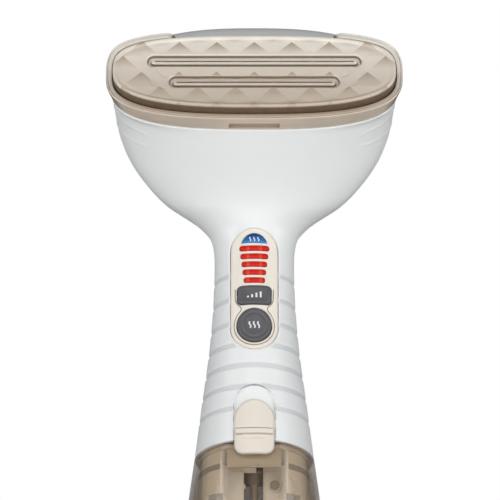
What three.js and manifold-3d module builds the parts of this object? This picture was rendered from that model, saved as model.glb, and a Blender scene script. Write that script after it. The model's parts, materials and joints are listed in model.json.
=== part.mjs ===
// Handheld garment steamer. Millimetres, +Z up, the front faces -Y.
// The origin is the centre of the water tank's base, on the surface that the steamer stands on.
// "front" below is a distance towards the front, so a point's y is minus its front distance.

import * as THREE from 'three';
import { mergeVertices } from 'three/addons/utils/BufferGeometryUtils.js';
import Module from 'manifold-3d';

const wasm = await Module();
wasm.setup();

// ---------------------------------------------------------------------------------------------
// Driving dimensions
// ---------------------------------------------------------------------------------------------

const DEGREE = Math.PI / 180;
const GAP = 0.3; // clearance between neighbouring pieces
const WALL = 2.6; // housing wall
const FLARE_WALL = 1.5; // extra in-plane wall where the bowl flares out of the handle

const FACE_TILT = 27; // steam face, degrees back from vertical
const FACE_FRONT = 52;
const FACE_HEIGHT = 290.1;

const PLATE_HALF = 73;
const PLATE_TOP = 21.5;
const PLATE_BOTTOM = 24;
const PLATE_MIDLINE = 1.25; // height of the plate's widest line above its centre
const PLATE_THICK = 8;
const LEDGE_DEPTH = 6; // the plate stands this far proud of the bezel
const BEZEL_DEPTH = 16; // from the plate's surface back to the housing's rim
const BEZEL_MARGIN = 3.6; // ledge width round the plate
const EAR_RISE = 6; // the ledge climbs by this much to meet the plate's surface at the top

const PANEL_LEAN = 9.26;
const PANEL_FRONT = 29.9;
const PANEL_HEIGHT = 179.9;
const PANEL_WIDE = 24.6;
const PANEL_TALL = 64.6;

const BAR_COUNT = 5;
const BAR_TOP = 21.35; // first level bar above the panel's centre
const BAR_PITCH = 4.3;
const BAR_WIDE = 15.4;
const BAR_STEP = 1.12; // each bar is this much narrower than the one above
const BAR_TALL = 2.8;

const LENS_TOP = 29.35; // ready light, above the panel's centre
const LENS_RADIUS = 6.8;
const LENS_RISE = 5.1;

const SETTING = { wide: 17.5, tall: 9.7, corner: 2.3, height: -3.8 };
const STEAM = { radius: 8.9, height: -19.9 };
const BUTTON_CLEARANCE = 0.35;

const BOARD_DEPTH = 11; // control board's front face behind the panel's surface
const SWITCH_TALL = 2.3;

const LATCH_LEAN = 9.8;
const LATCH_FRONT = 41.7;
const LATCH_HEIGHT = 107.5;
const LATCH_WIDE = 20.6;
const LATCH_TALL = 28.6;
const LATCH_PROUD = 1.6;
const RIDGE_HEIGHT = -2.1; // thumb ridge, on the latch's plane
const RECESS_DEPTH = 1.5;
const RECESS_RISE = 8; // free channel above the latch
const RECESS_BELOW = 12; // the channel runs out through the shell's lower edge

const PARTING_SLOPE = 13; // the tank's top edge is this much higher at the front
const PARTING_FRONT = 43;
const PARTING_HEIGHT = 101;
const TANK_WALL = 2.2;
const POCKET_WIDE = 27.6;
const POCKET_DEPTH = 4.1; // flat floor of the pocket, on the latch's plane
const POCKET_LOW = -19.8;

const NECK_RADIUS = 11.2;
const NECK_FRONT = -4;
const NECK_TOP = 101;

const CAP_HEIGHT = 47;
const CAP_RADIUS = 13.5;
const CAP_HOLE = 11;
const CAP_THICK = 2.4;
const CAP_FACE = 47.6; // flat pad on the tank's back
const HINGE_HEIGHT = CAP_HEIGHT + 18.5;
const HINGE_BACK = 49;

const GLAND_HEIGHT = 99;
const GLAND_BORE = 3.7;

const HEAD_SCREW = { across: 46, height: 262, split: 6 }; // split is the parting line's front distance
const GRIP_SCREW = { across: 21, height: 122, split: 0.25 };
const SCREW_SHANK = 1.3;
const SCREW_HEAD = 2.8;

// ---------------------------------------------------------------------------------------------
// Casing stations. Each is a flat section between a front point and a back point:
// [front, height, back, height at the back, half width, widest place along it, roundness power]
// ---------------------------------------------------------------------------------------------

function gripStation(front, height, back, half, slope) {
  const drop = (front - back) * Math.tan(slope * DEGREE);
  return [front, height, back, height - drop, half, 0.5, 2];
}

const CASING = [
  gripStation(PARTING_FRONT, PARTING_HEIGHT, -43.0, 31.4, PARTING_SLOPE),
  gripStation(38.5, 127, -38.0, 27.6, 10.5),
  gripStation(33.9, 155, -32.0, 23.6, 9.5),
  gripStation(29.3, 183, -26.5, 21.4, 9.5),
  gripStation(25.3, 207, -23.5, 21.6, 9),
  [24.5, 216.0, -24.0, 212.0, 27.9, 0.5, 2],
  [25.6, 223.5, -26.5, 229.0, 46.1, 0.5, 2.05],
  [28.4, 230.0, -30.0, 248.0, 57.7, 0.49, 2.1],
  [32.4, 236.5, -31.5, 268.0, 65.9, 0.48, 2.2],
  [37.0, 243.0, -27.0, 289.5, 71.0, 0.47, 2.3],
  [42.0, 249.5, -13.5, 309.0, 73.2, 0.46, 2.45],
  [46.8, 255.7, 6.0, 321.0, 73.8, 0.43, 2.6],
  [49.8, 259.2, 25.8, 306.2, 74.0, 0.5, 2.8],
];
const RIM = CASING.length - 1;

function partingHeight(front) {
  return PARTING_HEIGHT - (PARTING_FRONT - front) * Math.tan(PARTING_SLOPE * DEGREE);
}

const TANK = [
  [43.0, 100.5, -43.0, partingHeight(-43) - 0.5, 31.5, 0.5, 2.05],
  [45.2, 82, -44.8, 66, 33.9, 0.5, 2.15],
  [46.5, 59, -46.0, 50, 36.4, 0.5, 2.3],
  [47.0, 35, -46.5, 31, 38.5, 0.5, 2.4],
  [46.6, 14, -46.2, 13, 39.4, 0.5, 2.5],
  [45.6, 6, -45.2, 6, 38.9, 0.5, 2.5],
  [43.6, 1.8, -43.2, 1.8, 37.1, 0.5, 2.5],
  [40.6, 0, -40.2, 0, 34.3, 0.5, 2.5],
];
const TANK_BASE = TANK.length - 1;

// ---------------------------------------------------------------------------------------------
// Geometry helpers
// ---------------------------------------------------------------------------------------------

const vector = (x, front, z) => new THREE.Vector3(x, -front, z);

function curveBetween(before, from, to, after, s) {
  const bend = 2 * before - 5 * from + 4 * to - after;
  const twist = 3 * (from - to) + after - before;
  return from + 0.5 * s * (to - before + s * (bend + s * twist));
}

function sectionAt(stations, t) {
  const last = stations.length - 1;
  const i = Math.min(Math.max(Math.floor(t), 0), last - 1);
  const from = stations[i];
  const to = stations[i + 1];
  return from.map((value, k) => {
    const before = i > 0 ? stations[i - 1][k] : 2 * value - to[k];
    const after = i + 1 < last ? stations[i + 2][k] : 2 * to[k] - value;
    return curveBetween(before, value, to[k], after, t - i);
  });
}

// A point on a section. The angle runs from the right side (0) over the back to the left (pi).
function ringPoint(section, angle, inset, split = 0) {
  const [ff, fz, bf, bz, half, widest, power] = section;
  const front = new THREE.Vector2(ff, fz);
  const back = new THREE.Vector2(bf, bz);
  const run = back.clone().sub(front).normalize();
  front.addScaledVector(run, inset);
  back.addScaledVector(run, -inset);
  const middle = front.clone().lerp(back, widest);
  const cosine = Math.cos(angle);
  const sine = Math.sin(angle);
  const across = Math.sign(cosine) * Math.abs(cosine) ** (2 / power) * (half - inset);
  const reach = Math.abs(sine) ** (2 / power);
  const end = split < 0 || sine < 0 ? front : back;
  const outward = end.clone().sub(middle);
  const lift = outward.clone().normalize().multiplyScalar(Math.abs(split) * (1 - reach));
  const point = middle.add(outward.multiplyScalar(reach)).add(lift);
  return vector(across, point.x, point.y);
}

function ringOf(section, inset, around) {
  const points = [];
  for (let i = 0; i < around; i += 1) {
    points.push(ringPoint(section, (i / around) * 2 * Math.PI, inset));
  }
  return points;
}

function signedVolume(position, index) {
  const [a, b, c] = [new THREE.Vector3(), new THREE.Vector3(), new THREE.Vector3()];
  let volume = 0;
  for (let i = 0; i < index.length; i += 3) {
    a.fromArray(position, index[i] * 3);
    b.fromArray(position, index[i + 1] * 3);
    c.fromArray(position, index[i + 2] * 3);
    volume += a.dot(b.cross(c)) / 6;
  }
  return volume;
}

// Skins a stack of rings. ends is 'fan', 'strip' (for C-shaped rings) or 'joined' (last to first).
function skin(rings, ends) {
  const count = rings[0].length;
  const position = rings.flat().flatMap((p) => [p.x, p.y, p.z]);
  const index = [];
  const quad = (a, b, c, d) => index.push(a, b, c, a, c, d);
  const joined = ends === 'joined';
  for (let r = 0; r < rings.length - (joined ? 0 : 1); r += 1) {
    const low = r * count;
    const high = ((r + 1) % rings.length) * count;
    for (let i = 0; i < count; i += 1) {
      const next = (i + 1) % count;
      quad(low + i, low + next, high + next, high + i);
    }
  }
  const top = (rings.length - 1) * count;
  if (ends === 'strip') {
    for (let i = 0; i < count / 2 - 1; i += 1) {
      const mirror = count - 1 - i;
      quad(i, mirror, mirror - 1, i + 1);
      quad(top + i, top + i + 1, top + mirror - 1, top + mirror);
    }
  }
  if (ends === 'fan') {
    for (const [start, ring, flip] of [[0, rings[0], true], [top, rings.at(-1), false]]) {
      const centre = ring.reduce((sum, p) => sum.add(p), new THREE.Vector3()).divideScalar(count);
      const hub = position.length / 3;
      position.push(centre.x, centre.y, centre.z);
      for (let i = 0; i < count; i += 1) {
        const next = (i + 1) % count;
        index.push(hub, start + (flip ? next : i), start + (flip ? i : next));
      }
    }
  }
  if (signedVolume(position, index) < 0) {
    for (let i = 0; i < index.length; i += 3) {
      [index[i + 1], index[i + 2]] = [index[i + 2], index[i + 1]];
    }
  }
  const geometry = new THREE.BufferGeometry();
  geometry.setAttribute('position', new THREE.Float32BufferAttribute(position, 3));
  geometry.setIndex(index);
  return geometry;
}

function solid(geometry) {
  const bare = geometry.clone();
  bare.deleteAttribute('normal');
  bare.deleteAttribute('uv');
  const merged = mergeVertices(bare, 1e-4);
  const mesh = new wasm.Mesh({
    numProp: 3,
    vertProperties: new Float32Array(merged.attributes.position.array),
    triVerts: new Uint32Array(merged.index.array),
  });
  mesh.merge();
  return new wasm.Manifold(mesh);
}

function geometryOf(body) {
  const mesh = body.getMesh();
  const geometry = new THREE.BufferGeometry();
  geometry.setAttribute('position', new THREE.Float32BufferAttribute(mesh.vertProperties, 3));
  geometry.setIndex(new THREE.Uint32BufferAttribute(mesh.triVerts, 1));
  return geometry;
}

const join = (first, ...others) => others.reduce((sum, other) => sum.add(other), first);
const cut = (first, ...others) => others.reduce((rest, other) => rest.subtract(other), first);

// A drawing plane that leans back from vertical: x right, y up the slope, z out of the front.
function leaningPlane(lean, front, height) {
  const up = new THREE.Vector3(0, Math.sin(lean * DEGREE), Math.cos(lean * DEGREE));
  const out = new THREE.Vector3(0, -Math.cos(lean * DEGREE), Math.sin(lean * DEGREE));
  const plane = new THREE.Matrix4().makeBasis(new THREE.Vector3(1, 0, 0), up, out);
  return plane.setPosition(vector(0, front, height));
}

const FACE = leaningPlane(FACE_TILT, FACE_FRONT, FACE_HEIGHT);
const PANEL = leaningPlane(PANEL_LEAN, PANEL_FRONT, PANEL_HEIGHT);
const LATCH = leaningPlane(LATCH_LEAN, LATCH_FRONT, LATCH_HEIGHT);

function prism(outline, low, high, plane, segments = 6) {
  const options = { depth: high - low, bevelEnabled: false, curveSegments: segments };
  const geometry = new THREE.ExtrudeGeometry(outline, options);
  geometry.translate(0, 0, low);
  return solid(geometry.applyMatrix4(plane));
}

function roundedBox(wide, tall, corner, x = 0, y = 0) {
  const outline = new THREE.Shape();
  const [left, right] = [x - wide / 2, x + wide / 2];
  const [bottom, top] = [y - tall / 2, y + tall / 2];
  outline.moveTo(left + corner, bottom);
  outline.lineTo(right - corner, bottom);
  outline.absarc(right - corner, bottom + corner, corner, -Math.PI / 2, 0);
  outline.lineTo(right, top - corner);
  outline.absarc(right - corner, top - corner, corner, 0, Math.PI / 2);
  outline.lineTo(left + corner, top);
  outline.absarc(left + corner, top - corner, corner, Math.PI / 2, Math.PI);
  outline.lineTo(left, bottom + corner);
  outline.absarc(left + corner, bottom + corner, corner, Math.PI, 1.5 * Math.PI);
  return outline;
}

const stadium = (wide, tall, x = 0, y = 0) => roundedBox(wide, tall, Math.min(wide, tall) / 2 - 0.01, x, y);
const disc = (radius, x = 0, y = 0) => new THREE.Shape().absarc(x, y, radius, 0, 2 * Math.PI);

function box(left, right, rear, front, low, high) {
  const geometry = new THREE.BoxGeometry(right - left, front - rear, high - low);
  geometry.translate((left + right) / 2, -(rear + front) / 2, (low + high) / 2);
  return solid(geometry);
}

// A rod along a world axis: axis is 'x', 'y' or 'z', from low to high along it.
function rod(axis, radius, low, high, at, sides = 20) {
  const geometry = new THREE.CylinderGeometry(radius, radius, high - low, sides);
  if (axis === 'x') geometry.rotateZ(Math.PI / 2);
  if (axis === 'z') geometry.rotateX(Math.PI / 2);
  geometry.translate(...at.toArray());
  const middle = (low + high) / 2;
  geometry.translate(axis === 'x' ? middle : 0, axis === 'y' ? middle : 0, axis === 'z' ? middle : 0);
  return solid(geometry);
}

function tube(axis, outer, inner, low, high, at, sides = 20) {
  const bore = rod(axis, inner, low - 1, high + 1, at, sides);
  return cut(rod(axis, outer, low, high, at, sides), bore);
}

function sweep(points, radius, steps, sides = 8) {
  const curve = new THREE.CatmullRomCurve3(points);
  const section = new THREE.Shape();
  for (let i = 0; i < sides; i += 1) {
    const angle = (i / sides) * 2 * Math.PI;
    const [x, y] = [radius * Math.cos(angle), radius * Math.sin(angle)];
    if (i === 0) section.moveTo(x, y);
    else section.lineTo(x, y);
  }
  section.closePath();
  return solid(new THREE.ExtrudeGeometry(section, { steps, extrudePath: curve, bevelEnabled: false }));
}

function spring(radius, wire, turns, low, high, at) {
  const points = [];
  const perTurn = 8;
  for (let i = 0; i <= turns * perTurn; i += 1) {
    const angle = (i / perTurn) * 2 * Math.PI;
    const rise = low + ((high - low) * i) / (turns * perTurn);
    const turned = new THREE.Vector3(radius * Math.cos(angle), radius * Math.sin(angle), rise);
    points.push(turned.add(at));
  }
  return sweep(points, wire, turns * perTurn, 4);
}

function casingSolid(stations, from, to, inset, rows, around) {
  const rings = [];
  for (let i = 0; i <= rows; i += 1) {
    rings.push(ringOf(sectionAt(stations, from + ((to - from) * i) / rows), inset, around));
  }
  return solid(skin(rings, 'fan'));
}

// The layer of the grip between two depths under its surface, cut to an outline on a plane.
function gripLayer(outline, plane, outer, inner, from, to, segments = 6) {
  const rows = Math.ceil(to - from);
  const around = 32;
  const layer = cut(
    casingSolid(CASING, from, to, outer, rows, around),
    casingSolid(CASING, from - 0.3, to + 0.3, inner, rows, around),
  );
  return layer.intersect(prism(outline, -12, 8, plane, segments));
}

// ---------------------------------------------------------------------------------------------
// Finishes
// ---------------------------------------------------------------------------------------------

const finish = (color, roughness, metalness = 0, opacity = 1) =>
  new THREE.MeshStandardMaterial({ color, roughness, metalness, opacity, transparent: opacity < 1 });

const WHITE = finish(0xeff1f1, 0.28);
const CHAMPAGNE = finish(0xcbb9a6, 0.36, 0.35);
const CERAMIC = finish(0xdccdbf, 0.32, 0.3);
const CREAM = finish(0xf2eadd, 0.4);
const DARK = finish(0x424144, 0.5);
const BLUE = finish(0x1f5f9f, 0.2, 0, 0.9);
const RED = finish(0xd62e17, 0.3);
const LATCH_BEIGE = finish(0xe7ded1, 0.35);
const SMOKE = finish(0x8f7c6b, 0.08, 0, 0.45);
const CLEAR_TAN = finish(0xab9a84, 0.2, 0, 0.8);
const RUBBER = finish(0x2b2b2c, 0.85);
const SILICONE = finish(0xb9b4ad, 0.6, 0, 0.8);
const ALUMINIUM = finish(0xa9abad, 0.4, 0.9);
const STEEL = finish(0xb9bcc0, 0.25, 1);
const COPPER = finish(0xb2713c, 0.35, 0.9);
const NYLON = finish(0x3a3b3d, 0.6);
const BOARD = finish(0x1d5a3a, 0.5);

const steamer = new THREE.Group();

function part(name, body, material) {
  const mesh = new THREE.Mesh(geometryOf(body), material);
  mesh.name = name;
  steamer.add(mesh);
}

// ---------------------------------------------------------------------------------------------
// Housings
// ---------------------------------------------------------------------------------------------

function housingShell(side) {
  const rings = [];
  const around = 12;
  for (const t of [0, 1, 2, 3, 4, 4.5, 5, 5.5, 6, 6.5, 7, 8, 9, 10, 10.5, 11, 11.5, RIM]) {
    const wall = WALL + FLARE_WALL * Math.exp(-(((t - 6) / 1.6) ** 2));
    const section = sectionAt(CASING, t);
    const place = (i, inset) => {
      const angle = (i / around) * Math.PI;
      return ringPoint(section, side > 0 ? angle : -angle, inset, (side * GAP) / 2);
    };
    const outer = Array.from({ length: around + 1 }, (_, i) => place(i, 0));
    const inner = Array.from({ length: around + 1 }, (_, i) => place(around - i, wall));
    rings.push([...outer, ...inner]);
  }
  return solid(skin(rings, 'strip'));
}

const screwPlaces = [-1, 1].flatMap((side) => {
  const hand = side < 0 ? 'left' : 'right';
  return [['head', HEAD_SCREW], ['grip', GRIP_SCREW]].map(([where, screw]) => ({
    name: `${where}_screw_${hand}`,
    centre: vector(side * screw.across, screw.split, screw.height),
  }));
});

// Screws run along Y. Their heads sit in wells in the back, 7 mm behind the parting line.
const SCREW_DEPTH = 7;
const MEET = 0.25; // each boss stops this far from the parting line

function screwRod(place, radius, from, to, sides) {
  const split = place.centre.y;
  return rod('y', radius, split + from, split + to, place.centre.clone().setY(0), sides);
}

function frontHousing() {
  const inside = casingSolid(CASING, 0, RIM, 0.8, 18, 24);
  let body = housingShell(-1);
  for (const place of screwPlaces) {
    const boss = screwRod(place, 4.2, -60, -MEET, 12).intersect(inside);
    body = cut(join(body, boss), screwRod(place, SCREW_SHANK + GAP, -10, 1, 12));
  }
  const recessTall = LATCH_TALL + RECESS_RISE + RECESS_BELOW;
  const recessMiddle = (RECESS_RISE - RECESS_BELOW) / 2;
  const recess = roundedBox(LATCH_WIDE + 1, recessTall, LATCH_WIDE / 2, 0, recessMiddle);
  const channel = gripLayer(recess, LATCH, -3, RECESS_DEPTH, -0.5, 1.6);
  const slot = prism(roundedBox(6.6, 15.5, 2, 0, 4.5), -14, 4, LATCH, 3);
  const opening = prism(stadium(PANEL_WIDE + 2 * GAP, PANEL_TALL + 2 * GAP), -12, 8, PANEL, 5);
  return cut(body, channel, slot, opening);
}

function rearHousing() {
  const inside = casingSolid(CASING, 0, RIM, 0.8, 18, 24);
  let body = housingShell(1);
  for (const place of screwPlaces) {
    const boss = screwRod(place, 4.2, MEET, 45, 12).intersect(inside);
    const well = screwRod(place, SCREW_HEAD + 0.5, SCREW_DEPTH, 60, 16);
    body = cut(join(body, boss), well, screwRod(place, SCREW_SHANK + GAP, -1, 12, 12));
  }
  return cut(body, rod('y', 6 + GAP, 30, 60, vector(0, 0, GLAND_HEIGHT), 20));
}

part('front_housing', frontHousing(), WHITE);
part('rear_housing', rearHousing(), WHITE);

// A pan-head screw with a cross recess, its head against the shoulder of the well.
function caseScrew(place) {
  const head = screwRod(place, SCREW_HEAD, SCREW_DEPTH + GAP, SCREW_DEPTH + 2.4, 16);
  const shank = screwRod(place, SCREW_SHANK, -SCREW_DEPTH, SCREW_DEPTH + 1, 10);
  const { x, y, z } = place.centre;
  const rear = -y - SCREW_DEPTH - 3;
  const across = box(x - 2, x + 2, rear, rear + 1.6, z - 0.4, z + 0.4);
  const up = box(x - 0.4, x + 0.4, rear, rear + 1.6, z - 2, z + 2);
  return cut(join(head, shank), across, up);
}
for (const place of screwPlaces) part(place.name, caseScrew(place), STEEL);

// A cord bushing in the back wall, open right through.
function cordGland() {
  const at = vector(0, 0, GLAND_HEIGHT);
  const collar = rod('y', 8.2, 41.6, 44.4, at, 24);
  const neck = rod('y', 6, 33, 42, at, 24);
  const nut = rod('y', 8, 32.4, 34.8, at, 6);
  return cut(join(collar, neck, nut), rod('y', GLAND_BORE, 30, 50, at, 20));
}
part('cord_inlet_gland', cordGland(), RUBBER);

// ---------------------------------------------------------------------------------------------
// Steam face: plate, bezel, gasket, boiler
// ---------------------------------------------------------------------------------------------

// The plate's outline grown by a margin: flatter over the top, fuller corners below. The tall margin
// grows it further up and down, and its upper part comes forward by the climb.
function plateRing(grow, depth, around = 40, powerTop = 3, powerBottom = 2.7, climb = 0, tall = 0) {
  const points = [];
  for (let i = 0; i < around; i += 1) {
    const angle = (i / around) * 2 * Math.PI;
    const [c, s] = [Math.cos(angle), Math.sin(angle)];
    const power = s > 0 ? powerTop : powerBottom;
    const rise = (s > 0 ? PLATE_TOP : PLATE_BOTTOM) + tall;
    const x = Math.sign(c) * Math.abs(c) ** (2 / power) * (PLATE_HALF + grow);
    const y = PLATE_MIDLINE + Math.sign(s) * Math.abs(s) ** (2 / power) * (rise + grow);
    const out = climb * THREE.MathUtils.smoothstep(y, -6, 20) - depth;
    points.push(new THREE.Vector3(x, y, out).applyMatrix4(FACE));
  }
  return points;
}

const GROOVES = [
  { half: 55.7, tall: 8.2, height: 6.65 },
  { half: 44.3, tall: 8.6, height: -6.75 },
];
const GROOVE_DEPTH = 2.4;

function steamPlate() {
  const edge = [[-0.4, PLATE_THICK], [0, PLATE_THICK - 1], [0, 1.2], [-0.4, 0.35], [-1.4, 0]];
  let plate = solid(skin(edge.map(([grow, depth]) => plateRing(grow, depth)), 'fan'));
  for (const groove of GROOVES) {
    const length = 2 * groove.half;
    const channel = stadium(length - 2.4, groove.tall - 2.4, 0, groove.height);
    const slit = stadium(length - groove.tall, 1, 0, groove.height);
    const through = prism(slit, -PLATE_THICK - 1, 2, FACE, 2);
    plate = cut(plate, prism(channel, -GROOVE_DEPTH, 2, FACE, 5), through);
  }
  return plate;
}
part('steam_plate', steamPlate(), CERAMIC);

// The ledge round the plate ends in two ears at the top, with a notch between them.
function headBezel() {
  const well = GAP + 0.1;
  const lip = -6;
  const profile = [
    [BEZEL_MARGIN - 0.6, LEDGE_DEPTH, EAR_RISE, 0],
    [BEZEL_MARGIN, LEDGE_DEPTH + 0.8, EAR_RISE, 0],
    [1.4, BEZEL_DEPTH - GAP, 0, 2],
    [lip, BEZEL_DEPTH - GAP, 0, 0],
    [lip, PLATE_THICK + 2.4, 0, 0],
    [well, PLATE_THICK + 2.4, 0, 0],
    [well, LEDGE_DEPTH, EAR_RISE, 0],
  ];
  const ledgeRing = ([grow, depth, climb, tall]) => plateRing(grow, depth, 48, 3.2, 2.8, climb, tall);
  const ring = solid(skin(profile.map(ledgeRing), 'joined'));
  const slot = new THREE.BoxGeometry(26, 6, 4);
  slot.translate(0, PLATE_MIDLINE - PLATE_BOTTOM - 5.4, -LEDGE_DEPTH - 6);
  const notchOutline = roundedBox(91, 16, 2.4, 0, PLATE_MIDLINE + PLATE_TOP + 5.2);
  const notch = prism(notchOutline, -LEDGE_DEPTH - 1, 2, FACE);
  return cut(ring, solid(slot.applyMatrix4(FACE)), notch);
}
part('head_bezel', headBezel(), CHAMPAGNE);

function plateGasket() {
  const [near, far] = [PLATE_THICK + GAP, PLATE_THICK + 2.1];
  const profile = [[-1, near], [-1, far], [-5.4, far], [-5.4, near]];
  return solid(skin(profile.map(([grow, depth]) => plateRing(grow, depth)), 'joined'));
}
part('plate_gasket', plateGasket(), RUBBER);

const BOILER_BACK = 26;

// A hairpin: out along the top, round the right end and back along the bottom.
const heaterPath = [
  [-58, 4], [-30, 6.2], [0, 6.4], [30, 6.2], [46, 3.6], [50, -1],
  [46, -5.6], [30, -8], [0, -8.4], [-30, -8], [-58, -6],
];

function heaterTube(radius, depth) {
  const points = heaterPath.map(([x, y]) => new THREE.Vector3(x, y, -depth).applyMatrix4(FACE));
  return sweep(points, radius, 26, 6);
}

function boilerBody() {
  const outline = [
    [-13, BOILER_BACK],
    [-10.5, BOILER_BACK - 1.5],
    [-7.5, PLATE_THICK + 4],
    [-7.5, PLATE_THICK + GAP],
  ];
  const block = solid(skin(outline.map(([grow, depth]) => plateRing(grow, depth, 32)), 'fan'));
  const chamber = prism(stadium(96, 20, 0, 0), -PLATE_THICK - 6, -PLATE_THICK + 1, FACE);
  const trench = heaterTube(3.6, BOILER_BACK - 1.2);
  const inlet = prism(disc(2.2, 0, -1), -BOILER_BACK - 2, -PLATE_THICK, FACE);
  return cut(block, chamber, trench, inlet);
}
part('boiler_body', boilerBody(), ALUMINIUM);
part('heating_element', heaterTube(3.2, BOILER_BACK - 1.2), STEEL);

function boilerCover() {
  const sheet = prism(roundedBox(86, 26, 8, 0, -1), -BOILER_BACK - 4.2, -BOILER_BACK - 2.8, FACE);
  const legs = [-40, 40].map((x) => prism(disc(2.4, x, -1), -BOILER_BACK - 3, -BOILER_BACK - GAP, FACE));
  const hole = prism(disc(2.6, 0, -1), -BOILER_BACK - 6, -BOILER_BACK, FACE);
  return cut(join(sheet, ...legs), hole);
}
part('heat_shield', boilerCover(), STEEL);

const SHIELD_BACK = BOILER_BACK + 4.2;
part('thermostat', prism(disc(7.5, 24, -1), -SHIELD_BACK - 6, -SHIELD_BACK - GAP, FACE), NYLON);
part('thermal_fuse', prism(stadium(16, 4.4, -24, -1), -SHIELD_BACK - 4.4, -SHIELD_BACK - GAP, FACE), STEEL);

const inletNipple = cut(
  prism(disc(2, 0, -1), -SHIELD_BACK - 7, -BOILER_BACK + 3, FACE),
  prism(disc(1, 0, -1), -SHIELD_BACK - 9, -BOILER_BACK + 5, FACE),
);
part('boiler_inlet', inletNipple, ALUMINIUM);

// ---------------------------------------------------------------------------------------------
// Control panel
// ---------------------------------------------------------------------------------------------

const PANEL_FROM = 1.4;
const PANEL_TO = 4.9;
const PANEL_BACK = 2.2; // the panel's back under the grip's surface

// The top of a disc, cut off flat.
function lensOutline(grow) {
  const outline = new THREE.Shape();
  const radius = LENS_RADIUS + grow;
  const reach = Math.acos((LENS_RADIUS - LENS_RISE) / LENS_RADIUS);
  const low = LENS_TOP - LENS_RISE - grow - 0.01;
  outline.absarc(0, LENS_TOP - LENS_RADIUS, radius, Math.PI / 2 - reach, Math.PI / 2 + reach);
  outline.lineTo(-Math.sin(reach) * radius, low);
  outline.lineTo(Math.sin(reach) * radius, low);
  return outline;
}

function settingOutline(grow) {
  const { wide, tall, corner, height } = SETTING;
  return roundedBox(wide + 2 * grow, tall + 2 * grow, corner, 0, height);
}

const bars = Array.from({ length: BAR_COUNT }, (_, i) => ({
  name: `level_bar_${i + 1}`,
  wide: BAR_WIDE - i * BAR_STEP,
  height: BAR_TOP - i * BAR_PITCH,
}));

function controlPanel() {
  const outline = stadium(PANEL_WIDE, PANEL_TALL);
  const plate = gripLayer(outline, PANEL, -0.25, PANEL_BACK, PANEL_FROM, PANEL_TO, 5);
  const outlines = bars.map((bar) => roundedBox(bar.wide + 2 * GAP, BAR_TALL + 2 * GAP, 1, 0, bar.height));
  outlines.push(settingOutline(BUTTON_CLEARANCE));
  const windows = outlines.map((outline) => prism(outline, -14, 8, PANEL, 2));
  windows.push(prism(lensOutline(GAP), -14, 8, PANEL, 8));
  windows.push(prism(disc(STEAM.radius + BUTTON_CLEARANCE, 0, STEAM.height), -14, 8, PANEL, 12));
  return cut(plate, ...windows);
}
part('control_panel', controlPanel(), CREAM);

const lens = gripLayer(lensOutline(0), PANEL, -0.55, PANEL_BACK, PANEL_FROM, PANEL_TO);
part('ready_lens', lens, BLUE);
for (const bar of bars) {
  const outline = roundedBox(bar.wide, BAR_TALL, 1, 0, bar.height);
  part(bar.name, gripLayer(outline, PANEL, -0.75, PANEL_BACK, 2.7, 4.2, 2), RED);
}

const STEM_END = -6.6;

function button(outline, proud, height, segments) {
  const cap = gripLayer(outline, PANEL, -proud, 3.2, PANEL_FROM, PANEL_TO, segments);
  return join(cap, prism(disc(2, 0, height), STEM_END, -2.6, PANEL, 5));
}
part('setting_button', button(settingOutline(0), 1.1, SETTING.height, 2), DARK);
part('steam_button', button(disc(STEAM.radius, 0, STEAM.height), 1.3, STEAM.height, 12), DARK);

for (const [name, height] of [['setting_switch', SETTING.height], ['steam_switch', STEAM.height]]) {
  const top = -BOARD_DEPTH + SWITCH_TALL;
  const base = prism(roundedBox(6, 6, 0.4, 0, height), -BOARD_DEPTH + GAP, top, PANEL, 2);
  const plunger = prism(disc(1.5, 0, height), -BOARD_DEPTH + 1, top + 0.6, PANEL, 4);
  part(name, join(base, plunger), NYLON);
}

function boardBlock(wide, tall, y, low, high) {
  return prism(roundedBox(wide, tall, 0.2, 0, y), low, high, PANEL, 1);
}

// A circuit board with a light under each bar and under the lens, a chip and a socket.
function controlBoard() {
  const front = -BOARD_DEPTH - 0.2;
  const back = -BOARD_DEPTH - 1.2;
  const board = prism(roundedBox(21, 57, 1.5, 0, 0), -BOARD_DEPTH - 1.4, -BOARD_DEPTH, PANEL, 3);
  const lights = bars.map((bar) => boardBlock(4, 2, bar.height, front, -BOARD_DEPTH + 2));
  lights.push(boardBlock(3, 3, LENS_TOP - 3, front, -BOARD_DEPTH + 2));
  const chip = boardBlock(7, 9, -6, back - 1.8, back);
  const socket = boardBlock(9, 5, 12, back - 4.2, back);
  return join(board, ...lights, chip, socket);
}
part('control_board', controlBoard(), BOARD);

function powerBoard() {
  const board = box(-9.5, 9.5, -15.6, -14, 156, 204);
  const capacitor = box(-8, 4, -14.2, -6.5, 158, 168);
  const triac = box(-5, 5, -14.2, -10, 186, 198);
  const relay = box(-8.5, 8, -14.2, -6.5, 171, 182);
  return join(board, capacitor, triac, relay);
}
part('power_board', powerBoard(), BOARD);
part('terminal_block', box(-9, 9, -28, -20, 126, 134), NYLON);

// ---------------------------------------------------------------------------------------------
// Pump and hoses
// ---------------------------------------------------------------------------------------------

const PUMP = vector(0, NECK_FRONT, 0); // straight above the tank's neck
const PUMP_LOW = 115;
const PUMP_HIGH = 150;

function pumpBody() {
  const barrel = tube('z', 7, 5.2, PUMP_LOW, PUMP_HIGH - 4, PUMP, 24);
  const inlet = tube('z', 2.2, 1.2, PUMP_LOW - 6, PUMP_LOW + 1, PUMP, 12);
  const floor = cut(rod('z', 7, PUMP_LOW, PUMP_LOW + 2, PUMP, 24), rod('z', 1.2, 100, 140, PUMP, 12));
  return join(barrel, inlet, floor);
}

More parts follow.
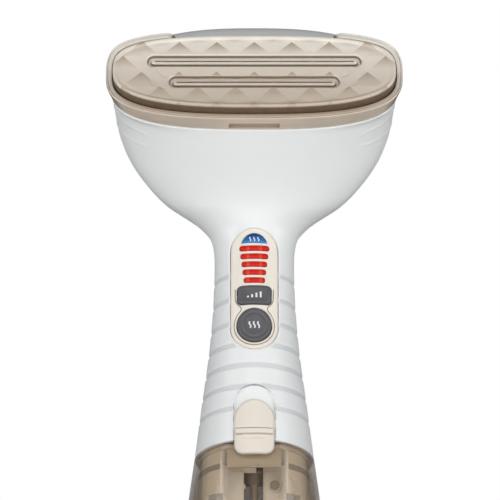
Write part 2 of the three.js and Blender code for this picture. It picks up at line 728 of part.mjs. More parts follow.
function pumpOutlet() {
  const cap = cut(rod('z', 7, PUMP_HIGH - 3.7, PUMP_HIGH, PUMP, 24), rod('z', 1.2, 140, 170, PUMP, 12));
  return join(cap, tube('z', 2.2, 1.2, PUMP_HIGH - 1, PUMP_HIGH + 7, PUMP, 12));
}
part('pump_body', pumpBody(), NYLON);
part('pump_outlet', pumpOutlet(), NYLON);
part('pump_coil', tube('z', 13, 7.4, PUMP_LOW + 4.4, PUMP_HIGH - 9, PUMP, 28), COPPER);

function pumpFrame() {
  const low = PUMP_LOW + 2.2;
  const high = PUMP_HIGH - 7;
  const front = -NECK_FRONT;
  const outer = box(-16, 16, -front - 8, -front + 8, low, high + 1.6);
  const inner = box(-14.2, 14.2, -front - 9, -front + 9, low + 1.6, high);
  return cut(outer, inner, rod('z', 7.3, 100, 170, PUMP, 24));
}
part('pump_frame', pumpFrame(), STEEL);
part('pump_plunger', tube('z', 4.9, 1.4, PUMP_LOW + 6, PUMP_LOW + 24, PUMP, 20), STEEL);
part('pump_spring', spring(3.6, 0.45, 4, PUMP_LOW + 24.8, PUMP_HIGH - 4.4, PUMP), STEEL);

// From the pump's outlet up the grip to the boiler's inlet, which it meets square on.
const hosePath = [
  vector(0, NECK_FRONT, PUMP_HIGH + 8.2),
  vector(0, -2.4, 162),
  vector(0, 0.5, 175),
  vector(0, 1, 195),
  vector(0, -1, 215),
  vector(0, -2, 240),
  vector(0, 2, 258),
  new THREE.Vector3(0, -1, -SHIELD_BACK - 14).applyMatrix4(FACE),
  new THREE.Vector3(0, -1, -SHIELD_BACK - 7.4).applyMatrix4(FACE),
];
part('delivery_hose', sweep(hosePath, 2.4, 30, 8), SILICONE);

for (const side of [-1, 1]) {
  const path = [
    vector(side * 8, -6, 206), vector(side * 11, -10, 222), vector(side * 20, -12, 240),
    vector(side * 30, 0, 262), new THREE.Vector3(side * 24, -1, -SHIELD_BACK - 9).applyMatrix4(FACE),
  ];
  part(side < 0 ? 'fuse_lead' : 'thermostat_lead', sweep(path, 1.1, 24, 6), RUBBER);
}

// ---------------------------------------------------------------------------------------------
// Docking port in the grip's floor
// ---------------------------------------------------------------------------------------------

const NECK = vector(0, NECK_FRONT, 0);
const PORT_ROOF = 105;

function gripFloor() {
  const plate = casingSolid(CASING, 0.03, 0.12, WALL + 2 * GAP, 1, 32);
  return cut(plate, rod('z', 13.6 + GAP, 60, 140, NECK, 28));
}
part('grip_floor', gripFloor(), WHITE);

// A cup that the tank's neck slides up into, with a hose nipple on its roof.
function dockingPort() {
  const outside = rod('z', 13.6, 78, PORT_ROOF, NECK, 28);
  const below = casingSolid(TANK, 0, 1, -3, 1, 12);
  const cup = cut(outside, below, rod('z', NECK_RADIUS + 0.5, 70, PORT_ROOF - 2, NECK, 28));
  const nipple = rod('z', 2.2, PORT_ROOF - 1, PORT_ROOF + 3.4, NECK, 12);
  return cut(join(cup, nipple), rod('z', 1.2, PORT_ROOF - 3, PORT_ROOF + 5, NECK, 12));
}
part('docking_port', dockingPort(), NYLON);
part('suction_hose', tube('z', 3.6, 2.5, PORT_ROOF + 0.4, PUMP_LOW - 0.6, NECK, 14), SILICONE);

// ---------------------------------------------------------------------------------------------
// Tank release latch
// ---------------------------------------------------------------------------------------------

function latchOutline() {
  const outline = new THREE.Shape();
  const half = LATCH_WIDE / 2;
  const corner = 5;
  outline.moveTo(-half + corner, -LATCH_TALL / 2);
  outline.lineTo(half - corner, -LATCH_TALL / 2);
  outline.absarc(half - corner, -LATCH_TALL / 2 + corner, corner, -Math.PI / 2, 0);
  outline.lineTo(half, LATCH_TALL / 2 - half);
  outline.absarc(0, LATCH_TALL / 2 - half, half, 0, Math.PI);
  outline.lineTo(-half, -LATCH_TALL / 2 + corner);
  outline.absarc(-half + corner, -LATCH_TALL / 2 + corner, corner, Math.PI, 1.5 * Math.PI);
  return outline;
}

function releaseLatch() {
  const shield = gripLayer(latchOutline(), LATCH, -LATCH_PROUD, RECESS_DEPTH - GAP, -0.6, 1.3);
  const ridge = gripLayer(roundedBox(LATCH_WIDE - 1.4, 2.6, 1, 0, RIDGE_HEIGHT), LATCH, -2.4, 0, -0.6, 1.3);
  const post = prism(roundedBox(6, 8, 2, 0, 1), -8, 0, LATCH, 3);
  const foot = prism(roundedBox(12, 9, 1, 0, 1), -8, -5.8, LATCH, 2);
  return join(shield, ridge, post, foot);
}
part('tank_release_latch', releaseLatch(), LATCH_BEIGE);

const springSeat = new THREE.Vector3(0, 6, -6.9).applyMatrix4(LATCH);
part('latch_spring', spring(2.2, 0.35, 4, 0.9, 9.5, springSeat), STEEL);
const stopSeat = springSeat.z + 10.4;
part('spring_stop', box(-6, 6, 30.6, 35, stopSeat, stopSeat + 2), NYLON);

// ---------------------------------------------------------------------------------------------
// Water tank
// ---------------------------------------------------------------------------------------------

function tankCup() {
  const around = 32;
  const outerAt = [0, 1, 2, 3, 4, 5, 6, TANK_BASE];
  const outer = outerAt.map((t) => ringOf(sectionAt(TANK, t), 0, around));
  const innerAt = [5.7, 5, 4, 3, 2, 1, 0];
  const inner = innerAt.map((t) => ringOf(sectionAt(TANK, t), TANK_WALL, around));
  const cup = solid(skin([...inner, ...outer], 'fan'));
  const blockOutline = roundedBox(POCKET_WIDE + 5, 30, 3, 0, POCKET_LOW - 2.5 + 15);
  const block = prism(blockOutline, -POCKET_DEPTH - TANK_WALL, -POCKET_DEPTH + 3, LATCH, 3);
  const pocketOutline = roundedBox(POCKET_WIDE, 36, 3, 0, POCKET_LOW + 18);
  const pocket = prism(pocketOutline, -POCKET_DEPTH, 12, LATCH, 3);
  const bounds = casingSolid(TANK, 0, TANK_BASE, 0.2, 10, around);
  const pad = rod('y', CAP_RADIUS + 2, 42, CAP_FACE, vector(0, 0, CAP_HEIGHT), 28);
  const hole = rod('y', CAP_HOLE, 30, 60, vector(0, 0, CAP_HEIGHT), 28);
  const lugs = [-1, 1].map((side) => {
    const lug = box(side * 7 - 1.2, side * 7 + 1.2, -50.4, -43, HINGE_HEIGHT - 3, HINGE_HEIGHT + 3);
    return cut(lug, rod('x', 1, -12, 12, vector(0, -HINGE_BACK, HINGE_HEIGHT), 12));
  });
  const shoulder = cut(pad, rod('y', CAP_HOLE + 1, 30, CAP_FACE - 4, vector(0, 0, CAP_HEIGHT), 28));
  return cut(join(cup, block.intersect(bounds), shoulder, ...lugs), pocket, hole);
}

part('water_tank', tankCup(), SMOKE);

const SEAL_LOW = NECK_TOP - 5;
const SEAL_HIGH = SEAL_LOW + 1.4;
const VALVE_SEAT = NECK_TOP - 8; // top of the web that the poppet rests on
const VALVE_WEB = 2;
const VALVE_HOLE = 4.4;

// Curved walls that hang from the deck inside the front of the cup, one on each side of the pocket.
function deckSkirts() {
  const outer = casingSolid(TANK, 0.1, 1.7, TANK_WALL + 1.5, 3, 32);
  const inner = casingSolid(TANK, 0, 1.9, TANK_WALL + 2.9, 3, 32);
  const behind = box(-60, 60, -60, 14, 0, 120);
  const middle = box(-18, 18, 0, 60, 0, 120);
  const below = box(-60, 60, 0, 60, 0, 67.5);
  const windows = box(-24.5, 24.5, 0, 60, 0, 70.5);
  return cut(outer, inner, behind, middle, below, windows);
}

// The deck closes the cup. Its neck holds a web with the valve hole through it.
function tankDeck() {
  const plate = casingSolid(TANK, 0.03, 0.14, TANK_WALL + GAP, 1, 32);
  const neck = rod('z', NECK_RADIUS, 84, NECK_TOP, NECK, 28);
  const upper = rod('z', NECK_RADIUS - 2.2, VALVE_SEAT, NECK_TOP + 1, NECK, 24);
  const lower = rod('z', NECK_RADIUS - 2.2, 60, VALVE_SEAT - VALVE_WEB, NECK, 24);
  const hole = rod('z', VALVE_HOLE, 60, NECK_TOP + 1, NECK, 16);
  const reliefOutline = roundedBox(POCKET_WIDE + 6, 60, 3, 0, 0);
  const relief = prism(reliefOutline, -POCKET_DEPTH - TANK_WALL - GAP, 20, LATCH, 3);
  const groove = tube('z', NECK_RADIUS + 1, NECK_RADIUS - 1, SEAL_LOW - GAP, SEAL_HIGH + GAP, NECK, 28);
  return cut(join(plate, neck, deckSkirts()), upper, lower, hole, relief, groove);
}
part('tank_deck', tankDeck(), CLEAR_TAN);
part('neck_seal', tube('z', NECK_RADIUS + 0.2, NECK_RADIUS - 0.6, SEAL_LOW, SEAL_HIGH, NECK, 28), RUBBER);

function valvePoppet() {
  const stem = rod('z', 2.5, VALVE_SEAT - 4.4, VALVE_SEAT + 1, NECK, 12);
  const flange = rod('z', 6.8, VALVE_SEAT + GAP, VALVE_SEAT + 1.7, NECK, 20);
  return join(stem, flange);
}
part('valve_poppet', valvePoppet(), NYLON);
part('valve_spring', spring(4.4, 0.45, 2, VALVE_SEAT + 2.6, NECK_TOP - 2.6, NECK), STEEL);

const retainer = tube('z', NECK_RADIUS - 2.5, 3, NECK_TOP - 1.8, NECK_TOP - 0.3, NECK, 20);
part('valve_retainer', retainer, CLEAR_TAN);

const SPIGOT_TOP = VALVE_SEAT - VALVE_WEB - 3;
function tubeSpigot() {
  const ring = rod('z', NECK_RADIUS - 2.5, SPIGOT_TOP - 2, SPIGOT_TOP, NECK, 20);
  const spigot = rod('z', 3.6, SPIGOT_TOP - 9, SPIGOT_TOP - 1, NECK, 14);
  return cut(join(ring, spigot), rod('z', 2.6, 60, NECK_TOP, NECK, 14));
}
part('tube_spigot', tubeSpigot(), CLEAR_TAN);
part('suction_tube', tube('z', 2.2, 1.3, 8, SPIGOT_TOP - 2, NECK, 12), CLEAR_TAN);
part('suction_filter', cut(rod('z', 5, 3.6, 15, NECK, 20), rod('z', 2.5, 7.4, 20, NECK, 14)), NYLON);

// Upright guides on the deck's underside, in front of the suction tube.
const GUIDE_TOP = 89;
const GUIDE_BACK = 8;

function innerColumn() {
  const duct = box(-16.6, -5.4, GUIDE_BACK - 1, GUIDE_BACK + 5, 5, GUIDE_TOP);
  const arm = box(-6, 1, GUIDE_BACK, GUIDE_BACK + 4, GUIDE_TOP - 4.2, GUIDE_TOP);
  const hollow = box(-15.2, -6.8, GUIDE_BACK - 3, GUIDE_BACK + 3.6, 4, GUIDE_TOP - 1.6);
  return cut(join(duct, arm), hollow);
}

function bossPlate() {
  const boss = vector(10.7, 0, 78.4);
  const plate = box(4.6, 16.7, GUIDE_BACK, GUIDE_BACK + 2, 5, GUIDE_TOP);
  const ring = rod('y', 3.6, -GUIDE_BACK - 5, -GUIDE_BACK - 1, boss, 20);
  return cut(join(plate, ring), rod('y', 2.5, -30, 0, boss, 16));
}
part('inner_column', innerColumn(), CLEAR_TAN);
part('boss_plate', bossPlate(), CLEAR_TAN);

// A lid over the filler hole, with a hollow lip that plugs it and a knuckle for the hinge pin.
function fillerCap() {
  const at = vector(0, 0, CAP_HEIGHT);
  const inner = CAP_FACE + GAP;
  const lid = rod('y', CAP_RADIUS, inner, inner + CAP_THICK, at, 28);
  const lip = tube('y', CAP_HOLE - 0.7, CAP_HOLE - 1.8, CAP_FACE - 2, inner + 0.5, at, 24);
  const strap = box(-5.3, 5.3, -inner - CAP_THICK, -inner, CAP_HEIGHT + 6, HINGE_HEIGHT);
  const hinge = vector(0, -HINGE_BACK, HINGE_HEIGHT);
  const knuckle = rod('x', 2, -5.3, 5.3, hinge, 16);
  return cut(join(lid, lip, strap, knuckle), rod('x', 1, -12, 12, hinge, 12));
}
part('filler_cap', fillerCap(), RUBBER);
part('cap_hinge_pin', rod('x', 0.7, -8.6, 8.6, vector(0, -HINGE_BACK, HINGE_HEIGHT), 10), STEEL);

export default steamer;
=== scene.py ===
import json
import math

import bpy
import numpy as np
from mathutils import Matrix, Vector


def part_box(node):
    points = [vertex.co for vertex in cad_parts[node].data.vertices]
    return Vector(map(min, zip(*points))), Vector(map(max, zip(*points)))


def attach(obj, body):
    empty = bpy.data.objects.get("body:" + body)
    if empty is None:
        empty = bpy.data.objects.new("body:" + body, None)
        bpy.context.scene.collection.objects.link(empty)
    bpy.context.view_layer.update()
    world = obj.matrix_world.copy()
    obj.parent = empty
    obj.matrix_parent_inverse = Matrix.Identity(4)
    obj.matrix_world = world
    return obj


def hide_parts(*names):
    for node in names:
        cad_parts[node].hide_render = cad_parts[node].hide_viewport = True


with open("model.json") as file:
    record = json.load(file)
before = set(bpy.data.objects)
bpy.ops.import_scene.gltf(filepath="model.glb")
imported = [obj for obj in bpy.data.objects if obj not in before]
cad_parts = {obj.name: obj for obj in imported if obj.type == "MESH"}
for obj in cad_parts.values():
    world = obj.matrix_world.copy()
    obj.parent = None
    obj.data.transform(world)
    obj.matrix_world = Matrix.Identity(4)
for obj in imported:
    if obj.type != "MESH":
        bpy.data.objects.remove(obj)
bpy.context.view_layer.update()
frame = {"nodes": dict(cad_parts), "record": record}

MM = 0.001
TURN = 2 * math.pi
AXIS = 0.01  # radius at which a turned piece closes on its axis
HANDS = ((-1, "left"), (1, "right"))

# ---- Driving dimensions, the same as the CAD's ----

GAP = 0.3
WALL = 2.6
FLARE_WALL = 1.5  # the wall is thicker by this much where the bowl starts
LOOP_RISE = 0.28
LOOP_SOFT = 0.5

RING_GROOVES = (3.179, 2.705, 2.260, 1.852, 1.464, 1.071, 0.661)  # places along the casing's stations
STATION_PITCH = 27.0  # millimetres of grip to one station
RING_DEPTH = 0.85
RING_HALF = 1.75
RING_SOFT = 1.15
# Depth and back of the grey bands of painted shade in the ring grooves.
SHADE_BAND_DEPTH = 0.58
SHADE_BAND_BACK = 2.3
CHANNEL_TOP = 1.6  # grooves below this place meet the latch's channel

PLATE_HALF = 73.0
PLATE_TOP = 21.5
PLATE_BOTTOM = 24.0
PLATE_MIDLINE = 1.25
PLATE_THICK = 8.0
PLATE_ROUND_TOP = 3.0  # superellipse powers of the outline
PLATE_ROUND_BOTTOM = 2.7
LEDGE_DEPTH = 6.0
BEZEL_DEPTH = 16.0
EAR_RISE = 5.9  # the ledge climbs by this much to meet the plate's surface at the top
EAR_END = 46.2
EAR_ROUND = 5.5
NOTCH_DEPTH = LEDGE_DEPTH + 1
QUILT = 19.4  # side of one facet square
QUILT_TOP = 19.2  # height of one dimple's middle on the centre line
QUILT_RELIEF = 1.05
GROOVES = ({"half": 55.7, "tall": 8.2, "height": 6.65}, {"half": 44.3, "tall": 8.6, "height": -6.75})

PANEL_WIDE = 24.6
PANEL_TALL = 64.6
PANEL_BACK = 2.2
PANEL_PROUD = 0.25

BAR_COUNT = 5
BAR_TOP = 21.35
BAR_PITCH = 4.3
BAR_WIDE = 15.4
BAR_STEP = 1.12
BAR_TALL = 2.8
PAINTED_SPOT_ACROSS = 3.3  # each painted light spot on a bar, from the middle
PAINTED_SPOT_REACH = 1.1

LENS_TOP = 29.35
LENS_RADIUS = 6.8
LENS_RISE = 5.1

SETTING = {"wide": 17.5, "tall": 9.7, "corner": 2.3, "height": -3.8}
STEAM = {"radius": 8.9, "height": -19.9}
BUTTON_CLEARANCE = 0.35

LATCH_WIDE = 20.6
LATCH_TALL = 28.6
LATCH_CORNER = 5.0
RECESS_DEPTH = 1.5
CHANNEL_LIMIT = 140.0  # the latch's channel lies below this height
RECESS_RISE = 8.0
RECESS_HALF = LATCH_WIDE / 2 + 0.5
RECESS_TOP = LATCH_TALL / 2 + RECESS_RISE
RIDGE_HEIGHT = -2.5
CREASE_OFF = 1.62  # the creases above and below the thumb ridge, from its middle
LATCH_PROUD = 1.6
LATCH_ARCH = LATCH_TALL / 2 - LATCH_WIDE / 2  # where the round top starts
LATCH_FOOT = LATCH_CORNER - LATCH_TALL / 2  # where the lower corners end

PARTING = 101.0
PARTING_FRONT = 43.0
PARTING_SLOPE = 13.0
TANK_WALL = 2.2
SKIRT_NEAR = TANK_WALL + 1.5
SKIRT_FAR = TANK_WALL + 2.9
POCKET_WIDE = 27.6
POCKET_DEPTH = 4.1
POCKET_LOW = -19.8

NECK_Y = 4.0
NECK_RADIUS = 11.2
NECK_TOP = 101.0
CAP_HEIGHT = 47.0
CAP_RADIUS = 13.5
CAP_HOLE = 11.0
CAP_THICK = 2.4
CAP_FACE = 47.6
HINGE_HEIGHT = CAP_HEIGHT + 18.5
HINGE_Y = 49.0

GLAND_HEIGHT = 99.0
GLAND_BORE = 3.7

HEAD_SCREW = (46.0, 262.0, -6.0)  # across, height, y of the parting line there
GRIP_SCREW = (21.0, 122.0, -0.25)
SCREW_DEPTH = 7.0
SCREW_HEAD = 2.8
SCREW_BOSS = 4.4
CROSS_HALF = 0.35
CROSS_REACH = 1.7

# ---- Lofts ----


def grip_station(front, height, back, half, slope):
    drop = (front - back) * math.tan(math.radians(slope))
    return (front, height, back, height - drop, half, 0.5, 2)


def parting_height(front):
    return PARTING - (PARTING_FRONT - front) * math.tan(math.radians(PARTING_SLOPE))


# Front distance and height, back distance and height, half width, widest place, roundness power.
CASING = np.array([
    grip_station(PARTING_FRONT, PARTING, -43.0, 31.4, PARTING_SLOPE),
    grip_station(38.5, 127, -38.0, 27.6, 10.5),
    grip_station(33.9, 155, -32.0, 23.6, 9.5),
    grip_station(29.3, 183, -26.5, 21.4, 9.5),
    grip_station(25.3, 207, -23.5, 21.6, 9),
    (24.5, 216.0, -24.0, 212.0, 27.9, 0.5, 2),
    (25.6, 223.5, -26.5, 229.0, 46.1, 0.5, 2.05),
    (28.4, 230.0, -30.0, 248.0, 57.7, 0.49, 2.1),
    (32.4, 236.5, -31.5, 268.0, 65.9, 0.48, 2.2),
    (37.0, 243.0, -27.0, 289.5, 71.0, 0.47, 2.3),
    (42.0, 249.5, -13.5, 309.0, 73.2, 0.46, 2.45),
    (46.8, 255.7, 6.0, 321.0, 73.8, 0.43, 2.6),
    (49.8, 259.2, 25.8, 306.2, 74.0, 0.5, 2.8),
])
RIM = len(CASING) - 1.0

TANK = np.array([
    (43.0, 100.5, -43.0, parting_height(-43) - 0.5, 31.5, 0.5, 2.05),
    (45.2, 82, -44.8, 66, 33.9, 0.5, 2.15),
    (46.5, 59, -46.0, 50, 36.4, 0.5, 2.3),
    (47.0, 35, -46.5, 31, 38.5, 0.5, 2.4),
    (46.6, 14, -46.2, 13, 39.4, 0.5, 2.5),
    (45.6, 6, -45.2, 6, 38.9, 0.5, 2.5),
    (43.6, 1.8, -43.2, 1.8, 37.1, 0.5, 2.5),
    (40.6, 0, -40.2, 0, 34.3, 0.5, 2.5),
])
BASE = len(TANK) - 1.0


def sections(stations, t):
    """Catmull-Rom values of the stations at each t, running straight on past the ends."""
    first = 2 * stations[0] - stations[1]
    last = 2 * stations[-1] - stations[-2]
    padded = np.vstack([first, stations, last])
    i = np.clip(np.floor(t).astype(int), 0, len(stations) - 2)
    s = (t - i)[..., None]
    a, b, c, d = (padded[i + k] for k in range(4))
    return b + 0.5 * s * (c - a + s * (2 * a - 5 * b + 4 * c - d + s * (3 * (b - c) + d - a)))


def loft(stations, t, angle, inset=0.0, side=0):
    """Points on a loft. Angle 0 is the right side and -pi/2 the front; side lifts clear of the seam."""
    t, angle, inset = np.broadcast_arrays(t, angle, inset)
    ff, fz, bf, bz, half, widest, power = np.moveaxis(sections(stations, t), -1, 0)
    front = np.stack([ff, fz], -1)
    back = np.stack([bf, bz], -1)
    run = back - front
    run = run / np.linalg.norm(run, axis=-1, keepdims=True)
    front = front + run * inset[..., None]
    back = back - run * inset[..., None]
    middle = front + (back - front) * widest[..., None]
    cosine, sine = np.cos(angle), np.sin(angle)
    across = np.sign(cosine) * np.abs(cosine) ** (2 / power) * (half - inset)
    reach = np.abs(sine)[..., None] ** (2 / power)[..., None]
    forward = (sine < 0) if side == 0 else np.full(sine.shape, side < 0)
    outward = np.where(forward[..., None], front, back) - middle
    away = outward / np.linalg.norm(outward, axis=-1, keepdims=True)
    point = middle + outward * reach + away * (abs(side) * GAP / 2 * (1 - reach))
    return np.stack([across, -point[..., 0], point[..., 1]], -1)


def reach_from_seam(stations, t, angle):
    """Rough distance of each point from the seam between the front and the back."""
    ff, fz, bf, bz, _, widest, power = np.moveaxis(sections(stations, t), -1, 0)
    run = np.hypot(bf - ff, bz - fz)
    share = np.where(np.sin(angle) < 0, widest, 1 - widest)
    return run * share * np.abs(np.sin(angle)) ** (2 / power)


# ---- Drawing planes: u right, v up the slope, w out of the front ----


class Plane:
    def __init__(self, lean, front, height):
        lean = math.radians(lean)
        self.origin = np.array([0.0, -front, height])
        self.right = np.array([1.0, 0.0, 0.0])
        self.up = np.array([0.0, math.sin(lean), math.cos(lean)])
        self.out = np.array([0.0, -math.cos(lean), math.sin(lean)])

    def at(self, u, v, w):
        u, v, w = np.broadcast_arrays(u, v, w)
        return self.origin + u[..., None] * self.right + v[..., None] * self.up + w[..., None] * self.out

    def seen(self, points):
        """(u, v) of points."""
        rel = points - self.origin
        return rel @ self.right, rel @ self.up


FACE = Plane(27.0, 52.0, 290.1)
PANEL = Plane(9.26, 29.9, 179.9)
LATCH = Plane(9.8, 41.7, 107.5)


def on_surface(plane, u, v, depth, stations=CASING):
    """Points at a depth under the front of a loft, straight behind (u, v) on a plane."""
    u, v, depth = (np.array(a, float) for a in np.broadcast_arrays(u, v, depth))
    height = plane.origin[2] + v * plane.up[2]
    order = np.argsort(stations[:, 1])
    t = np.interp(height, stations[order, 1], order.astype(float))
    half = sections(stations, t)[..., 4]
    angle = -np.arccos(np.clip(u / half, -0.999, 0.999))
    small = 1e-4
    for _ in range(7):
        here = plane.seen(loft(stations, t, angle, depth))
        by_t = plane.seen(loft(stations, t + small, angle, depth))
        by_angle = plane.seen(loft(stations, t, angle + small, depth))
        a, b = (by_t[0] - here[0]) / small, (by_angle[0] - here[0]) / small
        c, d = (by_t[1] - here[1]) / small, (by_angle[1] - here[1]) / small
        du, dv = u - here[0], v - here[1]
        scale = a * d - b * c
        t = t + np.clip((d * du - b * dv) / scale, -0.5, 0.5)
        angle = angle + np.clip((a * dv - c * du) / scale, -0.3, 0.3)
    return loft(stations, t, angle, depth)


# ---- Outlines and distances on a plane ----


def rounded(wide, tall, corner, x=0.0, y=0.0, around=8, along=1):
    """A rounded rectangle, counter-clockwise from its right side, the same above and below its middle."""
    corner = max(min(corner, wide / 2, tall / 2), 0.02)
    points = []
    for k, (sx, sy) in enumerate([(1, 1), (-1, 1), (-1, -1), (1, -1)]):
        turn = np.linspace(k, k + 1, around + 1) * math.pi / 2
        cx, cy = sx * (wide / 2 - corner), sy * (tall / 2 - corner)
        arc = np.stack([cx + corner * np.cos(turn), cy + corner * np.sin(turn)], -1)
        if points:
            points.append(np.linspace(points[-1][-1], arc[0], along + 1)[1:-1])
        points.append(arc)
    outline = np.concatenate(points)
    half_side = np.linspace([wide / 2, 0], outline[0], along // 2 + 1)[:-1]
    if along > 1:
        outline = np.concatenate([half_side[1:], outline, (half_side[1:] * [1, -1])[::-1]])
    return outline + [x, y]


def box_distance(u, v, wide, tall, corner):
    """Signed distance from a rounded rectangle's outline, negative inside."""
    du = np.abs(u) - (wide / 2 - corner)
    dv = np.abs(v) - (tall / 2 - corner)
    outside = np.hypot(np.maximum(du, 0), np.maximum(dv, 0))
    return outside + np.minimum(np.maximum(du, dv), 0) - corner


def round_edge(distance, radius):
    """How far a quarter-round edge drops at a distance in from the edge."""
    share = np.clip(1 - distance / radius, 0, 1)
    return radius * (1 - np.sqrt(1 - share**2))


def ramp(value):
    share = np.clip(value, 0, 1)
    return share * share * (3 - 2 * share)


def ridge(distance, width):
    return np.exp(-((distance / width) ** 2))


# ---- Mesh tools ----


def make_object(name, points, faces):
    mesh = bpy.data.meshes.new(name)
    points = np.asarray(points, float).reshape(-1, 3) * MM
    mesh.from_pydata(points.tolist(), [], [list(map(int, face)) for face in faces])
    mesh.update()
    made = bpy.data.objects.new(name, mesh)
    bpy.context.scene.collection.objects.link(made)
    outward(made)
    return made


def outward(piece):
    """Turns a closed mesh's faces out, by the sign of its volume."""
    mesh = piece.data
    co = np.zeros(len(mesh.vertices) * 3)
    mesh.vertices.foreach_get("co", co)
    co = co.reshape(-1, 3)
    mesh.calc_loop_triangles()
    tri = np.zeros(len(mesh.loop_triangles) * 3, int)
    mesh.loop_triangles.foreach_get("vertices", tri)
    a, b, c = (co[tri[k::3]] for k in range(3))
    if np.einsum("ij,ij->i", a, np.cross(b, c)).sum() < 0:
        mesh.flip_normals()


def grid_faces(rows, columns, start=0, wrap=False):
    r = np.arange(rows - 1)[:, None]
    c = np.arange(columns if wrap else columns - 1)[None, :]
    a = start + r * columns + c
    b = start + r * columns + (c + 1) % columns
    return np.stack([a, b, b + columns, a + columns], -1).reshape(-1, 4)


def slab(name, outer, inner):
    """A closed sheet between two grids of points of the same size."""
    rows, columns = outer.shape[:2]
    shift = rows * columns
    index = np.arange(shift).reshape(rows, columns)
    border = np.concatenate([index[0, :-1], index[:-1, -1], index[-1, :0:-1], index[:0:-1, 0]])
    after = np.roll(border, -1)
    sides = np.stack([border + shift, after + shift, after, border], -1)
    faces = np.concatenate([grid_faces(rows, columns), grid_faces(rows, columns, shift)[:, ::-1], sides])
    return make_object(name, np.concatenate([outer.reshape(-1, 3), inner.reshape(-1, 3)]), faces)


def stack(name, rings, ends="fan"):
    """Skins a stack of closed rings. The ends are fanned, bridged across ('strip'), or joined ('loop')."""
    rings = np.asarray(rings, float)
    count, around = rings.shape[:2]
    points = rings.reshape(-1, 3)
    faces = list(grid_faces(count, around, wrap=True))
    top = (count - 1) * around
    turn = np.arange(around)
    after = (turn + 1) % around
    if ends == "loop":
        faces += list(np.stack([top + turn, top + after, after, turn], -1))
    elif ends == "fan":
        low, high = len(points), len(points) + 1
        points = np.vstack([points, rings[0].mean(0), rings[-1].mean(0)])
        faces += [(low, b, a) for a, b in zip(turn, after)]
        faces += [(high, top + a, top + b) for a, b in zip(turn, after)]
    else:
        for i in range(around // 2 - 1):
            mirror = around - 1 - i
            faces.append((i, mirror, mirror - 1, i + 1))
            faces.append((top + i, top + i + 1, top + mirror - 1, top + mirror))
    return make_object(name, points, faces)


def prism(name, outline, low, high, plane):
    rings = [plane.at(outline[:, 0], outline[:, 1], w) for w in (low, high)]
    count = len(outline)
    sides = list(grid_faces(2, count, wrap=True))
    caps = [list(range(count))[::-1], list(range(count, 2 * count))]
    return make_object(name, np.concatenate(rings), sides + caps)


def lathe(name, profile, axis, centre, around=64):
    """Turns (radius, along) pairs about a world axis. The ends are closed on the axis or joined."""
    turn = np.arange(around) / around * TURN
    first, second = {"x": (1, 2), "y": (2, 0), "z": (0, 1)}[axis]
    along = "xyz".index(axis)
    rings = np.zeros((len(profile), around, 3))
    for ring, (radius, place) in zip(rings, profile):
        ring[:, first] = radius * np.cos(turn)
        ring[:, second] = radius * np.sin(turn)
        ring[:, along] = place
    closed = profile[0][0] > 2 * AXIS
    return stack(name, rings + np.asarray(centre, float), "loop" if closed else "fan")


def rod(name, axis, radius, low, high, centre, around=32):
    return lathe(name, [(AXIS, low), (radius, low), (radius, high), (AXIS, high)], axis, centre, around)


def block(name, low, high, bevel=0.3):
    """A box between two corners with rounded edges."""
    low, high = np.asarray(low, float), np.asarray(high, float)
    corners = np.array([[x, y, z] for x in (0, 1) for y in (0, 1) for z in (0, 1)])
    faces = [(0, 1, 3, 2), (4, 6, 7, 5), (0, 4, 5, 1), (2, 3, 7, 6), (0, 2, 6, 4), (1, 5, 7, 3)]
    made = make_object(name, low + corners * (high - low), faces)
    if bevel:
        rounder = made.modifiers.new("round", "BEVEL")
        rounder.width = bevel * MM
        rounder.segments = 3
        settle(made)
    return made


def settle(piece):
    """Applies a piece's modifiers."""
    bpy.context.view_layer.update()
    graph = bpy.context.evaluated_depsgraph_get()
    mesh = bpy.data.meshes.new_from_object(piece.evaluated_get(graph))
    old = piece.data
    piece.modifiers.clear()
    piece.data = mesh
    mesh.name = piece.name
    bpy.data.meshes.remove(old)


def remove(piece):
    mesh = piece.data
    bpy.data.objects.remove(piece)
    bpy.data.meshes.remove(mesh)


def combine(piece, others, operation="DIFFERENCE"):
    """Cuts the others from a piece, or joins them to it, and removes them."""
    for other in others:
        change = piece.modifiers.new("change", "BOOLEAN")
        change.solver = "MANIFOLD"
        change.operation = operation
        change.object = other
    settle(piece)
    for other in others:
        remove(other)
    return piece


def shade(mesh, crease):
    """Smooth shading with creases kept crisp."""
    mesh.polygons.foreach_set("use_smooth", np.ones(len(mesh.polygons), bool))
    mesh.set_sharp_from_angle(angle=math.radians(crease))


def borrow_normals(piece, smooth_copy):
    """Gives a cut piece the shading that its skin had before the cuts."""
    shade(smooth_copy.data, 40)
    shade(piece.data, 180)
    borrow = piece.modifiers.new("borrow", "DATA_TRANSFER")
    borrow.object = smooth_copy
    borrow.use_loop_data = True
    borrow.data_types_loops = {"CUSTOM_NORMAL"}
    borrow.loop_mapping = "POLYINTERP_NEAREST"
    settle(piece)
    remove(smooth_copy)


def twin(piece):
    made = bpy.data.objects.new("twin", piece.data.copy())
    bpy.context.scene.collection.objects.link(made)
    return made


def finish_piece(piece, body, slot_name, *nodes, material=None, crease=32):
    """Smooth shading with crisp creases, its material, and what it stands for."""
    mesh = piece.data
    if crease:
        shade(mesh, crease)
    mesh.materials.clear()
    mesh.materials.append(material or LIB[slot_name])
    mesh.polygons.foreach_set("material_index", np.zeros(len(mesh.polygons), int))
    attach(piece, body)
    if nodes:
        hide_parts(*nodes)


# ---- Materials ----


def linear(*rgb):
    """sRGB 0-255 to a linear colour."""
    share = np.array(rgb, float) / 255
    low = share / 12.92
    high = ((share + 0.055) / 1.055) ** 2.4
    return tuple(np.where(share <= 0.04045, low, high)) + (1.0,)


